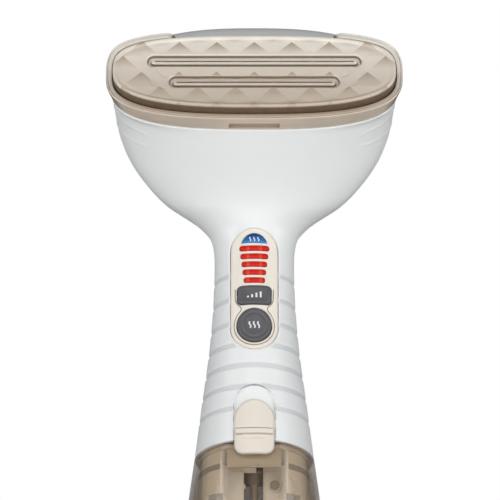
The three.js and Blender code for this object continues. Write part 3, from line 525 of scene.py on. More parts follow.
class Tree:
    """A node tree whose inputs take numbers and sockets alike."""

    def __init__(self, tree):
        self.tree = tree

    def add(self, kind, inputs=None, **settings):
        made = self.tree.nodes.new(kind)
        for key, value in settings.items():
            setattr(made, key, value)
        for key, value in (inputs or {}).items():
            self.link(value, made.inputs[key])
        return made

    def link(self, value, socket):
        if isinstance(value, bpy.types.NodeSocket):
            self.tree.links.new(value, socket)
        else:
            socket.default_value = value

    def calc(self, operation, *values):
        return self.add("ShaderNodeMath", dict(enumerate(values)), operation=operation).outputs[0]

    def split(self, vector):
        return self.add("ShaderNodeSeparateXYZ", {"Vector": vector}).outputs

    def spread(self, value, low, high, start=0.3, end=0.7):
        inputs = {"Value": value, "From Min": start, "From Max": end, "To Min": low, "To Max": high}
        return self.add("ShaderNodeMapRange", inputs).outputs[0]


class Nodes(Tree):
    """A material's node tree, with object coordinates at hand."""

    def __init__(self, name):
        self.material = bpy.data.materials.new(name)
        self.material.use_nodes = True
        super().__init__(self.material.node_tree)
        self.shader = self.tree.nodes["Principled BSDF"]
        self.coordinates = self.add("ShaderNodeTexCoord").outputs["Object"]

    def set(self, **sockets):
        for key, value in sockets.items():
            self.link(value, self.shader.inputs[key.replace("_", " ").title().replace("Ior", "IOR")])

    def dot(self, vector, direction):
        inputs = {0: vector, 1: tuple(direction)}
        return self.add("ShaderNodeVectorMath", inputs, operation="DOT_PRODUCT").outputs["Value"]

    def from_face(self):
        """The place seen from the middle of the steam face."""
        inputs = {0: self.coordinates, 1: tuple(FACE.origin * MM)}
        return self.add("ShaderNodeVectorMath", inputs, operation="SUBTRACT").outputs[0]

    def noise(self, scale, detail=3.0, stretch=(1, 1, 1), rough=0.5):
        mapped = self.add("ShaderNodeMapping", {"Vector": self.coordinates, "Scale": stretch})
        inputs = {"Vector": mapped.outputs[0], "Scale": scale, "Detail": detail, "Roughness": rough}
        return self.add("ShaderNodeTexNoise", inputs).outputs["Fac"]

    def mix(self, share, first, second):
        return self.add("ShaderNodeMix", {0: share, 6: first, 7: second}, data_type="RGBA").outputs[2]

    def mottle(self, color, amount, scale):
        """The colour, wandering a little lighter and darker."""
        dark = tuple(c * (1 - amount) for c in color[:3]) + (1.0,)
        light = tuple(min(c * (1 + amount), 1) for c in color[:3]) + (1.0,)
        return self.mix(self.spread(self.noise(scale, 4), 0, 1), dark, light)

    def bump(self, height, distance):
        inputs = {"Height": height, "Distance": distance * MM, "Strength": 1.0}
        return self.add("ShaderNodeBump", inputs).outputs[0]


def plastic(name, rgb, rough, grain=1500.0, relief=0.003, amount=0.02):
    """Moulded plastic: a faint grain, slow drifts of colour and gloss."""
    n = Nodes(name)
    n.set(base_color=n.mottle(linear(*rgb), amount, 60))
    n.set(roughness=n.spread(n.noise(140, 4), rough * 0.88, rough * 1.14))
    n.set(normal=n.bump(n.noise(grain, 2), relief))
    return n.material


def metal(name, rgb, rough, stretch=(1, 1, 1), relief=0.004):
    """Bare metal with a brushed or flaked grain and slightly worn gloss."""
    n = Nodes(name)
    n.set(base_color=n.mottle(linear(*rgb), 0.05, 90), metallic=1.0)
    n.set(roughness=n.spread(n.noise(420, 5, stretch, 0.62), rough * 0.8, rough * 1.25))
    n.set(normal=n.bump(n.noise(3000, 2, stretch), relief))
    return n.material


def level_red():
    """A red bar with two warm spots of painted light, one on either side of its middle."""
    n = Nodes("level_red")
    side = n.calc("ABSOLUTE", n.split(n.coordinates)[0])
    away = n.calc("ABSOLUTE", n.calc("SUBTRACT", side, PAINTED_SPOT_ACROSS * MM))
    # Painted light: two warm spots painted into the red, as though lit from behind.
    painted_light_spots = n.calc("MULTIPLY", n.spread(away, 0.85, 0.0, 0.0, PAINTED_SPOT_REACH * MM), n.noise(900, 3))
    red = n.mottle(linear(214, 30, 16), 0.1, 500)
    n.set(base_color=n.mix(painted_light_spots, red, linear(250, 118, 84)), roughness=n.spread(n.noise(300), 0.34, 0.48))
    n.set(normal=n.bump(n.noise(1500, 2), 0.002), specular_ior_level=0.25)
    return n.material


def ready_blue():
    """A glossy blue that deepens toward the top of the lens."""
    n = Nodes("ready_blue")
    height = n.spread(n.split(n.coordinates)[2], 0.0, 1.0, 0.2040, 0.2082)
    blue = n.mix(height, linear(30, 134, 204), linear(28, 62, 120))
    n.set(base_color=blue, roughness=n.spread(n.noise(300), 0.1, 0.2))
    n.set(normal=n.bump(n.noise(1500, 2), 0.004), coat_weight=0.5, coat_roughness=0.05)
    return n.material


def smoke_tank():
    """Tinted clear plastic: thin and see-through in front, with a paler haze of painted light on its flanks
    and low down, darker and more opaque out at its sides, and a painted shade of deeper, more opaque brown
    round the back.
    """
    n = Nodes("smoke_tank")
    x, y, z = n.split(n.coordinates)
    across = n.calc("ABSOLUTE", x)
    # Painted light: a paler, hazier tone on the flanks and low down stands in for light on the parts inside.
    painted_light_flank = n.calc("MAXIMUM", n.spread(across, 0.0, 1.0, 0.0125, 0.016), n.spread(z, 1.0, 0.0, 0.03, 0.055))
    # Painted shade: a deeper, more opaque brown toward the back stands in for the shade inside the cup.
    behind = n.spread(y, 0.0, 1.0, -0.024, 0.034)
    side = n.spread(across, 0.0, 1.0, 0.026, 0.031)
    tint_with_painted_shading = n.mix(painted_light_flank, linear(122, 102, 80), n.mottle(linear(206, 188, 162), 0.04, 70))
    tint_with_painted_shading = n.mix(side, tint_with_painted_shading, linear(138, 118, 92))
    n.set(base_color=n.mix(behind, tint_with_painted_shading, linear(96, 76, 52)))
    # The painted haze and the painted shade at the back are also painted more opaque.
    front = n.calc("MAXIMUM", n.spread(painted_light_flank, 0.07, 0.24, 0.0, 1.0), n.spread(side, 0.0, 0.7, 0.0, 1.0))
    n.set(alpha=n.calc("MAXIMUM", front, n.calc("MULTIPLY", behind, 0.72)))
    n.set(roughness=n.spread(n.noise(160, 4), 0.05, 0.11))
    n.set(normal=n.bump(n.noise(240, 3), 0.008), coat_weight=0.4, coat_roughness=0.04)
    return n.material


def beside_grooves(n, across, high):
    """One on the plate's open face, nought inside its two grooves."""
    side = n.calc("ABSOLUTE", across)
    kept = 1.0
    for groove in GROOVES:
        off = n.calc("ABSOLUTE", n.calc("SUBTRACT", high, groove["height"] * MM))
        over = n.spread(off, 0.0, 1.0, 0.0038, 0.0046)
        past = n.spread(side, 0.0, 1.0, (groove["half"] - 1) * MM, (groove["half"] + 1) * MM)
        kept = n.calc("MULTIPLY", n.calc("MAXIMUM", over, past), kept)
    return kept


def facet_shade(n, across, high):
    """A painted shade in the top of each quilted diamond that fades downward."""
    rise = n.calc("SUBTRACT", high, QUILT_TOP * MM)
    slants = [n.calc(operation, rise, across) for operation in ("ADD", "SUBTRACT")]
    shares = [n.calc("FRACT", n.calc("MULTIPLY_ADD", slant, 1 / (QUILT * MM), 8.0)) for slant in slants]
    # The amount of painted shade, strongest at each diamond's top.
    tint_with_painted_shading = n.spread(n.calc("ADD", *shares), 0.0, 1.0, 1.2, 1.96)
    return n.calc("MULTIPLY", tint_with_painted_shading, beside_grooves(n, across, high))


def steam_ceramic():
    """Satin metallic glazed plate with painted light: painted lighter toward the top, painted shade in the
    top of each quilted diamond, and painted shade dark down its outer walls and in its grooves.
    """
    n = Nodes("ceramic_plate")
    place = n.from_face()
    across, high, deep = n.split(place)[0], n.dot(place, FACE.up), n.dot(place, FACE.out)
    # Painted light: the colour is painted lighter toward the top.
    glaze_with_painted_light = n.mix(n.spread(high, 0, 1, -0.022, 0.02), linear(206, 190, 172), linear(255, 247, 234))
    # Painted shade in the top of each quilted diamond.
    glaze_with_painted_light = n.mix(facet_shade(n, across, high), glaze_with_painted_light, linear(192, 173, 152))
    clouded_glaze_with_painted_light = n.mix(n.spread(n.noise(120, 4), 0, 0.08), glaze_with_painted_light, linear(190, 172, 152))
    # The dark colour of painted shade, for the plate's outer walls and its grooves.
    walls = n.mottle(linear(112, 93, 74), 0.1, 300)
    above = n.spread(n.calc("ABSOLUTE", high), 0, 1, 0.0122, 0.0132)
    beside = n.spread(n.calc("ABSOLUTE", across), 0, 1, 0.06, 0.061)
    # Painted shade down the plate's outer walls.
    rim = n.calc("MULTIPLY", n.spread(deep, 1, 0, -0.0023, -0.0012), n.calc("MAXIMUM", above, beside))
    # Painted shade down the walls of the grooves.
    top, low = n.spread(deep, 1, 0, -0.0014, -0.0010), n.spread(deep, 0, 1, -0.00275, -0.00235)
    groove = n.calc("MULTIPLY", n.calc("MULTIPLY", top, low), 0.85)
    n.set(base_color=n.mix(n.calc("MAXIMUM", rim, groove), clouded_glaze_with_painted_light, walls), metallic=0.06)
    n.set(roughness=n.spread(n.noise(260, 5), 0.28, 0.38))
    n.set(normal=n.bump(n.noise(2600, 2), 0.002))
    return n.material


def champagne_metal():
    """Champagne-lacquered metal with painted light: painted darker on the faces that look straight out and
    lighter on the rest, painted paler up at the ears, and a painted shade on the walls that turn to the left
    and right.
    """
    n = Nodes("champagne_metal")
    high = n.dot(n.from_face(), FACE.up)
    normal = n.add("ShaderNodeNewGeometry").outputs["Normal"]
    # Painted light and shade: darker on the faces that look straight out, lighter on the rest.
    out_facing_painted_shade = n.spread(n.dot(normal, FACE.out), 0, 1, 0.6, 0.95)
    lower = n.mix(out_facing_painted_shade, linear(228, 212, 195), linear(194, 176, 158))
    # Painted light: paler up at the ears.
    lacquer_with_painted_light = n.mix(n.spread(high, 0, 1, -0.02, 0.006), lower, linear(254, 247, 236))
    drift_and_painted_light = n.mix(n.spread(n.noise(90, 4), 0, 0.12), lacquer_with_painted_light, linear(172, 154, 134))
    # Painted shade on the walls that turn to the left and right.
    painted_shade_sideways = n.spread(n.calc("ABSOLUTE", n.split(normal)[0]), 0, 1, 0.55, 0.85)
    n.set(base_color=n.mix(painted_shade_sideways, drift_and_painted_light, linear(112, 96, 78)), metallic=0.2)
    n.set(roughness=n.spread(n.noise(420, 5), 0.28, 0.4))
    n.set(normal=n.bump(n.noise(2600, 2), 0.0015))
    return n.material


LIB = {
    "white_shell": plastic("white_shell", (244, 246, 246), 0.34, relief=0.0006, amount=0.004),
    "champagne_metal": champagne_metal(),
    "ceramic_plate": steam_ceramic(),
    "cream_panel": plastic("cream_panel", (246, 238, 226), 0.36, amount=0.015),
    "dark_button": plastic("dark_button", (90, 89, 93), 0.42, grain=3200, relief=0.012, amount=0.06),
    "ready_blue": ready_blue(),
    "level_red": level_red(),
    "latch_beige": plastic("latch_beige", (238, 229, 216), 0.34, amount=0.015),
    "smoke_tank": smoke_tank(),
    "tank_inner": plastic("tank_inner", (240, 222, 194), 0.24, amount=0.04),
    "black_rubber": plastic("black_rubber", (38, 38, 40), 0.78, grain=1600, relief=0.03, amount=0.1),
    "silicone": plastic("silicone", (196, 192, 184), 0.55, amount=0.04),
    "cast_aluminium": metal("cast_aluminium", (176, 178, 181), 0.42, relief=0.03),
    "steel": metal("steel", (192, 195, 199), 0.24, stretch=(6, 1, 1)),
    "winding": metal("winding", (186, 118, 66), 0.34, stretch=(1, 1, 30), relief=0.02),
    "dark_nylon": plastic("dark_nylon", (62, 63, 66), 0.55, grain=1800, relief=0.02, amount=0.08),
    "circuit_board": plastic("circuit_board", (30, 92, 60), 0.4, grain=700, relief=0.02, amount=0.2),
}
MARK = plastic("printed_mark", (236, 238, 240), 0.5)
# Soft grey of painted shade for the ring grooves.
GROOVE_SHADE = plastic("painted_groove_shade", (220, 223, 225), 0.45, relief=0.0012, amount=0.008)
# A dark line colour, for the panel's line and for painted shadow in the latch's creases.
LINE_AND_CREASE_SHADE = plastic("panel_line", (128, 116, 100), 0.5)
# Grey of painted shade along the arch of the latch's channel.
CHANNEL_EDGE_SHADE = plastic("painted_channel_shade", (172, 174, 178), 0.5)
SHADOW = plastic("channel_side", (108, 94, 78), 0.6)
SKIRT = plastic("deck_skirt", (214, 196, 172), 0.3, amount=0.06)
# Very dark brown of painted shade, for the deck's neck and web seen in the gaps between the inner pieces.
DECK_SHADE = plastic("deck", (58, 42, 24), 0.4, amount=0.08)
TUBE = plastic("suction_pipe", (178, 156, 126), 0.3, amount=0.05)
# Dark brown of painted shade, where the deck's edge is seen from below.
DECK_EDGE_SHADE = plastic("deck_edge_shade", (70, 54, 36), 0.5, amount=0.08)
SLOT_LINER = plastic("slot_liner", (184, 165, 146), 0.45, amount=0.05)

# ---- Housings ----


def ring_inset(t):
    depth = np.zeros_like(t)
    for place in RING_GROOVES:
        depth += RING_DEPTH * ramp((RING_HALF - np.abs(t - place) * STATION_PITCH) / RING_SOFT)
    return depth


def channel_distance(u, v):
    """Distance from the edge of the latch's channel, negative inside. It is open at the bottom."""
    arch = np.hypot(u, np.maximum(v - (RECESS_TOP - RECESS_HALF), 0))
    return arch - RECESS_HALF


def loop_distance(t, angle):
    """Distance from the line of the long raised loop on each side of the bowl."""
    along = (np.abs(angle + math.pi / 2) - 1.19) * 42
    up = (t - 10.0) * 9.5
    return np.abs(box_distance(along, up, 36, 8.4, 4.2))


def front_inset(t, angle):
    points = loft(CASING, t, angle)
    u, v = LATCH.seen(points)
    channel = channel_distance(u, v)
    low = points[..., 2] < CHANNEL_LIMIT
    inside = np.where(low, ramp(-channel / 0.55), 0)
    inset = ring_inset(t) * (1 - inside) + RECESS_DEPTH * inside
    inset = inset - np.where(low, 0.3 * ridge(channel - 0.5, 0.42), 0)
    u, v = PANEL.seen(points)
    rim = box_distance(u, v, PANEL_WIDE, PANEL_TALL, PANEL_WIDE / 2) - GAP
    fade = ramp((rim - 0.3) / 1.6)
    front = points[..., 1] < 0
    inset = np.where(front, inset * fade + round_edge(rim, 0.7), inset)
    return inset - LOOP_RISE * ridge(loop_distance(t, angle), LOOP_SOFT)


def edge_inset(t, angle):
    """Rounded edges at the seam, at the foot and at the rim."""
    seam = round_edge(reach_from_seam(CASING, t, angle), 0.45)
    foot = round_edge(t * STATION_PITCH, 0.6)
    rim = round_edge((RIM - t) * 9.0, 0.5)
    return seam + foot + rim


def wall_at(t):
    return WALL + FLARE_WALL * np.exp(-(((t - 6) / 1.6) ** 2))


def quarter_angles(front):
    seam = [0, 0.004, 0.01, 0.02, 0.035]
    if not front:
        return np.concatenate([seam, np.linspace(0.05, math.pi / 2, 34)])
    side = np.linspace(0.05, math.acos(0.66), 26)
    edge = np.arccos(np.arange(0.645, 0.30, -0.0145))
    middle = np.arccos(np.linspace(0.285, 0, 10))
    return np.concatenate([seam, side, edge, middle])


def casing_rows():
    foot = [0, 0.006, 0.014, 0.024]
    grip = np.arange(0.036, 4.5, 0.0165)
    bowl = np.linspace(4.5, 11.9, 104)
    rim = [11.93, 11.96, 11.985, 12.0]
    return np.concatenate([foot, grip, bowl, rim])


def half_casing(name, side):
    quarter = quarter_angles(side < 0)
    angle = np.concatenate([quarter, math.pi - quarter[-2::-1]]) * (-1 if side < 0 else 1)
    t = casing_rows()[:, None]
    t, angle = np.broadcast_arrays(t, angle[None, :])
    if side < 0:
        inset = front_inset(t, angle)
    else:
        inset = ring_inset(t) - LOOP_RISE * ridge(loop_distance(t, -angle), LOOP_SOFT)
    outer = loft(CASING, t, angle, inset + edge_inset(t, angle), side)
    inner = loft(CASING, t, angle, wall_at(t), side)
    return slab(name, outer, inner)


def casing_core():
    t = np.linspace(0, RIM, 40)[:, None]
    angle = (np.arange(64) / 64 * TURN)[None, :]
    return stack("core", loft(CASING, t, angle, 0.8))


def groove_shade_bands():
    """Soft grey bands of painted shade in the grip's grooves. They stop at the latch and sink under the skin
    at the panel.
    """
    reach = RING_HALF / STATION_PITCH
    for number, place in enumerate(RING_GROOVES, 1):
        for side, half in ((-1, "front"), (1, "rear")):
            t = np.linspace(place - reach, place + reach, 9)[:, None]
            angle = side * np.linspace(0.03, math.pi - 0.03, 160)[None, :]
            t, angle = np.broadcast_arrays(t, angle)
            inset = np.full(t.shape, SHADE_BAND_DEPTH)
            if side < 0:
                u, v = PANEL.seen(loft(CASING, t, angle))
                panel = box_distance(u, v, PANEL_WIDE, PANEL_TALL, PANEL_WIDE / 2)
                inset = inset + 1.1 * ramp((1.2 - panel) / 1.2)
            outer, inner = (loft(CASING, t, angle, depth, side) for depth in (inset, SHADE_BAND_BACK))
            band = slab(f"painted_groove_shade_{half}_{number}", outer, inner)
            if side < 0 and place < CHANNEL_TOP:
                tall = RECESS_TOP + 40
                arch = rounded(2 * RECESS_HALF, tall, RECESS_HALF - 0.01, 0, RECESS_TOP - tall / 2, 24)
                combine(band, [prism("channel", arch, -14, 6, LATCH)])
            finish_piece(band, "handle", "white_shell", material=GROOVE_SHADE)


def screw_places():
    for side, hand in HANDS:
        for where, (across, height, y) in (("head", HEAD_SCREW), ("grip", GRIP_SCREW)):
            yield f"{where}_screw_{hand}", (side * across, y, height)


def pipe_cutter(radius, low, high, centre):
    return rod("cutter", "y", radius, low, high, centre, 40)


def front_housing():
    shell = half_casing("front_shell", -1)
    opening = rounded(PANEL_WIDE + 2 * GAP, PANEL_TALL + 2 * GAP, PANEL_WIDE / 2 + GAP, around=24)
    slot = rounded(6.6, 15.5, 2, 0, 4.5)
    whole = twin(shell)
    combine(shell, [prism("opening", opening, -12, 8, PANEL), prism("slot", slot, -14, 4, LATCH)])
    borrow_normals(shell, whole)
    finish_piece(shell, "handle", "white_shell", "front_housing", crease=None)


def rear_housing():
    shell = half_casing("rear_shell", 1)
    whole = twin(shell)
    bosses = []
    for _, (x, y, z) in screw_places():
        boss = pipe_cutter(SCREW_BOSS, y + 5.5, 45, (x, 0, z))
        bosses.append(combine(boss, [casing_core()], "INTERSECT"))
    combine(shell, bosses, "UNION")
    wells = [pipe_cutter(SCREW_HEAD + 0.5, y + SCREW_DEPTH, 60, (x, 0, z)) for _, (x, y, z) in screw_places()]
    wells.append(pipe_cutter(6 + GAP, 30, 60, (0, 0, GLAND_HEIGHT)))
    combine(shell, wells)
    borrow_normals(shell, whole)
    finish_piece(shell, "handle", "white_shell", "rear_housing", crease=None)


def case_screw(name, centre):
    """A screw with a domed head and a cross in it."""
    x, y, z = centre
    low, high, head = -SCREW_DEPTH, SCREW_DEPTH + GAP, SCREW_HEAD
    profile = [(AXIS, low), (1.0, low), (1.3, low + 1.0), (1.3, high), (head, high), (head, high + 0.9)]
    profile += [(head * math.cos(a), high + 0.9 + 1.1 * math.sin(a)) for a in np.linspace(0.2, 1.4, 7)]
    profile.append((AXIS, high + 2.0))
    screw = lathe(name, profile, "y", centre, 40)
    low, high = y + high + 0.7, y + high + 3
    arms = ((CROSS_REACH, CROSS_HALF), (CROSS_HALF, CROSS_REACH))
    cross = [block("arm", (x - dx, low, z - dz), (x + dx, high, z + dz), 0) for dx, dz in arms]
    combine(screw, cross)
    finish_piece(screw, "handle", "steel", name)


def cord_gland():
    """A ribbed rubber bushing, open right through."""
    bore = GLAND_BORE
    profile = [(bore, 32.4), (8, 32.4), (8, 34.8), (6, 34.8), (6, 41.6), (7.8, 41.6), (8.2, 42.0)]
    for k in range(3):
        place = 42.3 + 0.7 * k
        profile += [(8.2 - 0.3 * k, place), (7.7 - 0.3 * k, place + 0.25), (8.1 - 0.3 * k, place + 0.5)]
    profile += [(6.6, 44.4), (bore + 0.6, 44.4), (bore, 43.9)]
    gland = lathe("cord_gland", profile, "y", (0, 0, GLAND_HEIGHT), 72)
    finish_piece(gland, "handle", "black_rubber", "cord_inlet_gland")


# ---- Steam face ----


def plate_side(place, top=PLATE_ROUND_TOP, bottom=PLATE_ROUND_BOTTOM):
    """The plate's roundness power and its reach, above or below its midline."""
    return np.where(place > 0, top, bottom), np.where(place > 0, PLATE_TOP, PLATE_BOTTOM)


def plate_outline(grow, angle, top=PLATE_ROUND_TOP, bottom=PLATE_ROUND_BOTTOM):
    cosine, sine = np.cos(angle), np.sin(angle)
    power, rise = plate_side(sine, top, bottom)
    x = np.sign(cosine) * np.abs(cosine) ** (2 / power) * (PLATE_HALF + grow)
    y = PLATE_MIDLINE + np.sign(sine) * np.abs(sine) ** (2 / power) * (rise + grow)
    return x, y


def plate_edge_distance(u, v):
    """Rough distance in from the plate's outline."""
    y = v - PLATE_MIDLINE
    power, rise = plate_side(y)
    a, b = np.abs(u) / PLATE_HALF, np.abs(y) / rise
    slope = np.hypot(power * a ** (power - 1) / PLATE_HALF, power * b ** (power - 1) / rise)
    return np.maximum(1 - (a**power + b**power), 0) / np.maximum(slope, 0.004)


def quilt(u, v):
    """Shallow four-sided dimples whose valleys run diagonally."""
    across = np.abs(u / QUILT - np.round(u / QUILT))
    along = np.abs((v - QUILT_TOP) / QUILT - np.round((v - QUILT_TOP) / QUILT))
    return QUILT_RELIEF * 2 * np.maximum(across, along)


def creases(u, v):
    """Two pairs of curved creases that hug the lower groove's ends."""
    side = np.abs(u)
    near = np.where((side > 44.1) & (v < 2.3), np.abs(np.hypot(side - 44.1, v - 2.1) - 5.7), 9)
    far = np.where((side > 46) & (v < -3.4), np.abs(np.hypot(side - 44.5, v + 1) - 10.4), 9)
    return 0.26 * ridge(near, 0.4) + 0.16 * ridge(far, 0.45)


def groove_height(u, v, groove):
    """A long recess with a sloping wall, and in it a raised lip round a narrow steam slit."""
    tall, length = groove["tall"], 2 * groove["half"]
    v = v - groove["height"]
    out = box_distance(u, v, length, tall, tall / 2)
    height = -2.5 * ramp((-out + 0.1) / 1.3)
    lip = box_distance(u, v + 0.5, length - 4.6, 3.4, 1.7)
    height += 2.3 * ramp((-lip + 0.1) / 0.5)
    slit = box_distance(u, v + 0.2, length - 9.0, 0.8, 0.4)
    height -= 4.0 * ramp((-slit + 0.12) / 0.22)
    return height


def island_distance(u, v):
    """Distance from the line that runs round both grooves, negative inside."""
    share = np.clip((v + 13) / 26, 0, 1)
    half = 47.5 + 11.5 * share
    return box_distance(u, v, 2 * half, 25.2, 7)


def plate_height(u, v):
    edge = plate_edge_distance(u, v)
    island = island_distance(u, v)
    calm = ramp((edge - 1.6) / 4.0) * (0.4 + 0.6 * ramp(island / 3))
    height = (quilt(u, v) - QUILT_RELIEF / 2) * calm - QUILT_RELIEF / 2 * ramp((edge - 1) / 2) - creases(u, v)
    for groove in GROOVES:
        height = height + groove_height(u, v, groove)
    return height - round_edge(edge, 0.5 + 1.0 * ramp((4 - v) / 18))


def plate_rows():
    """Heights up the plate: close together at both edges and at the grooves' own lines."""
    turn = np.concatenate([np.arccos([0, 0.01, 0.03, 0.06, 0.1, 0.15, 0.2, 0.26]), np.arccos([0.33, 0.4])])
    top = PLATE_MIDLINE + PLATE_TOP * np.sin(turn) ** (2 / PLATE_ROUND_TOP)
    bottom = PLATE_MIDLINE - PLATE_BOTTOM * np.sin(turn) ** (2 / PLATE_ROUND_BOTTOM)
    even = np.arange(bottom.max() + 0.2, top.min() - 0.2, 0.38)
    lines = [g["height"] + s for g in GROOVES for s in (-0.72, -0.6, -0.48, 0.08, 0.2, 0.32, 0.75, 1.0, 1.25)]
    lines += [g["height"] - s for g in GROOVES for s in (2.35, 2.1, 1.85)]
    rows = np.unique(np.concatenate([top, bottom, even, lines]))
    keep = np.concatenate([[True], np.diff(rows) > 0.004])
    return rows[keep]


def plate_half_width(v):
    y = v - PLATE_MIDLINE
    power, rise = plate_side(y)
    share = np.clip(np.abs(y) / rise, 0, 1)
    return PLATE_HALF * np.maximum(1 - share**power, 1e-7) ** (1 / power)


def steam_plate():
    v = plate_rows()[:, None]
    edge = 1 - np.array([0, 0.002, 0.005, 0.009, 0.014])
    s = np.concatenate([-edge, np.linspace(-0.98, 0.98, 300), edge[::-1]])[None, :]
    u = plate_half_width(v) * s
    v = np.broadcast_to(v, u.shape)
    top = FACE.at(u, v, plate_height(u, v))
    plate = slab("plate", top, FACE.at(u, v, -PLATE_THICK))
    finish_piece(plate, "handle", "ceramic_plate", "steam_plate", crease=50)


def bezel_ring(grow, depth, angle):
    """One line round the bezel. It climbs to two ears at the top, with a notch between them."""
    x, y = plate_outline(grow, angle, 3.2, 2.8)
    y = y + 2.0 * np.sin(angle) * ramp((depth - LEDGE_DEPTH - 0.8) / 6) * (grow > 1)
    climb = EAR_RISE * ramp((y + 6) / 26) * ramp((BEZEL_DEPTH - 2 - depth) / 6)
    out = climb - depth
    share = np.clip((EAR_END - np.abs(x)) / EAR_ROUND, 0, 1)
    ear = np.where(y > 10, np.sqrt(1 - share**2), 1)
    notched = np.where(out > -NOTCH_DEPTH, -NOTCH_DEPTH + (out + NOTCH_DEPTH) * ear, out)
    return FACE.at(x, y, notched)


def head_bezel():
    turn = np.linspace(0, TURN, 361)[:-1]
    ears = [math.acos((x / 75.5) ** 1.6) for x in np.linspace(40.4, 46.6, 48)]
    angle = np.unique(np.concatenate([turn, ears, [math.pi - a for a in ears]]))
    ledge = [(0.42, 1.2), (0.45, 0.35), (0.6, 0.08), (0.85, 0), (2.15, 0), (2.3, 0.08), (2.42, 0.3)]
    ledge += [(2.6, 0.34), (2.75, 0.3), (2.85, 0.08), (3.0, 0.02), (3.25, 0.1), (3.48, 0.34)]
    ledge += [(3.6, 0.8), (3.45, 1.6)]
    profile = [(grow, LEDGE_DEPTH + down) for grow, down in ledge]
    back = BEZEL_DEPTH - GAP
    profile += [(2.2, BEZEL_DEPTH - 3.9), (1.62, BEZEL_DEPTH - 1.1), (1.4, back - 0.25), (1.15, back)]
    profile += [(-6, back), (-6, PLATE_THICK + 2.4), (0.4, PLATE_THICK + 2.4)]
    bezel = stack("bezel", [bezel_ring(grow, depth, angle) for grow, depth in profile], "loop")
    slot = rounded(26, 6.4, 0.1, 0, PLATE_MIDLINE - PLATE_BOTTOM - 5.4, 2)
    combine(bezel, [prism("slot", slot, -LEDGE_DEPTH - 7.9, -LEDGE_DEPTH - 4.0, FACE)])
    finish_piece(bezel, "handle", "champagne_metal", "head_bezel")
    line = rounded(25.6, 1.0, 0.05, 0, PLATE_MIDLINE - PLATE_BOTTOM - 2.5, 2)
    liner = prism("catch_liner", line, -LEDGE_DEPTH - 7.6, -LEDGE_DEPTH - 4.8, FACE)
    finish_piece(liner, "handle", "champagne_metal", "head_bezel", material=SLOT_LINER)


# ---- Control panel ----


def keyhole_line():
    """The line that wraps under the setting button and right round the steam button."""
    low, radius = STEAM["height"], 10.45
    side = [(9.9, -0.2), (9.9, -2.2), (9.9, -4.4), (9.75, -6.3), (9.0, -8.1), (7.9, -9.3), (7.0, -10.2)]
    side += [(6.75, -11.1), (7.3, -12.4)]
    side += [(radius * math.cos(a), low + radius * math.sin(a)) for a in np.linspace(0.62, -math.pi / 2, 26)]
    side = np.array(side)
    path = np.concatenate([side * [-1, 1], side[-2::-1]])
    return sections(path, np.linspace(0, len(path) - 1.001, 260))


def panel_depth(u, v):
    edge = -box_distance(u, v, PANEL_WIDE, PANEL_TALL, PANEL_WIDE / 2)
    depth = -PANEL_PROUD + 0.9 * round_edge(edge, 0.7)
    depth += 0.2 * ridge(edge - 1.5, 0.3) * ramp((-v - 19) / 6)
    grow = 2 * BUTTON_CLEARANCE
    setting = box_distance(u, v - SETTING["height"], SETTING["wide"] + grow, SETTING["tall"] + grow, 2.6)
    steam = np.hypot(u, v - STEAM["height"]) - STEAM["radius"] - BUTTON_CLEARANCE
    return depth + round_edge(np.minimum(setting, steam), 0.4)


def bars():
    for i in range(BAR_COUNT):
        yield f"level_bar_{i + 1}", BAR_WIDE - i * BAR_STEP, BAR_TOP - i * BAR_PITCH


def lens_outline(grow):
    """The top of a disc cut off flat, from its right corner round the arc and back along the flat."""
    radius = LENS_RADIUS + grow
    low = LENS_TOP - LENS_RISE - grow
    centre = LENS_TOP - LENS_RADIUS
    reach = math.acos((low - centre) / radius)
    turn = np.linspace(math.pi / 2 - reach, math.pi / 2 + reach, 40)
    arc = np.stack([radius * np.cos(turn), centre + radius * np.sin(turn)], -1)
    return np.concatenate([arc, np.linspace(arc[-1], arc[0], 15)[1:-1]])


def control_panel():
    u = np.linspace(-PANEL_WIDE / 2 - 0.3, PANEL_WIDE / 2 + 0.3, 96)[None, :]
    v = np.linspace(-PANEL_TALL / 2 - 0.3, PANEL_TALL / 2 + 0.3, 240)[:, None]
    u, v = np.broadcast_arrays(u, v)
    panel = slab("panel", on_surface(PANEL, u, v, panel_depth(u, v)), on_surface(PANEL, u, v, PANEL_BACK))
    outline = rounded(PANEL_WIDE, PANEL_TALL, PANEL_WIDE / 2, around=32)
    combine(panel, [prism("outline", outline, -14, 8, PANEL)], "INTERSECT")
    grow = 2 * BUTTON_CLEARANCE
    windows = [rounded(wide + GAP, BAR_TALL + GAP, 1.3, 0, height) for _, wide, height in bars()]
    windows.append(lens_outline(GAP / 2))
    windows.append(rounded(SETTING["wide"] + grow, SETTING["tall"] + grow, 2.6, 0, SETTING["height"], 12))
    steam = 2 * STEAM["radius"] + grow
    windows.append(rounded(steam, steam, steam / 2, 0, STEAM["height"], 24))
    combine(panel, [prism("window", window, -14, 8, PANEL) for window in windows])
    finish_piece(panel, "handle", "cream_panel", "control_panel", crease=40)


def capped(name, outline, profile, height):
    """A closed piece of the panel: outline(d) is its outline moved in by d, at each (d, depth)."""
    rings = []
    for moved, depth in profile:
        ring = outline(moved)
        rings.append(on_surface(PANEL, ring[:, 0], ring[:, 1] + height, depth))
    return stack(name, rings, "strip")


def level_bar(name, wide, height):
    def outline(moved):
        return rounded(wide - 2 * moved, BAR_TALL - 2 * moved, 1.3 - moved, around=6, along=14)

    profile = [(1.2, PANEL_BACK), (0.5, PANEL_BACK), (0, PANEL_BACK - 0.2), (0, -0.1), (0.1, -0.34)]
    profile += [(0.3, -0.55), (0.6, -0.68), (0.9, -0.73), (1.25, -0.75)]
    bar = capped(name + "_lit", outline, profile, height)
    finish_piece(bar, "handle", "level_red", name)


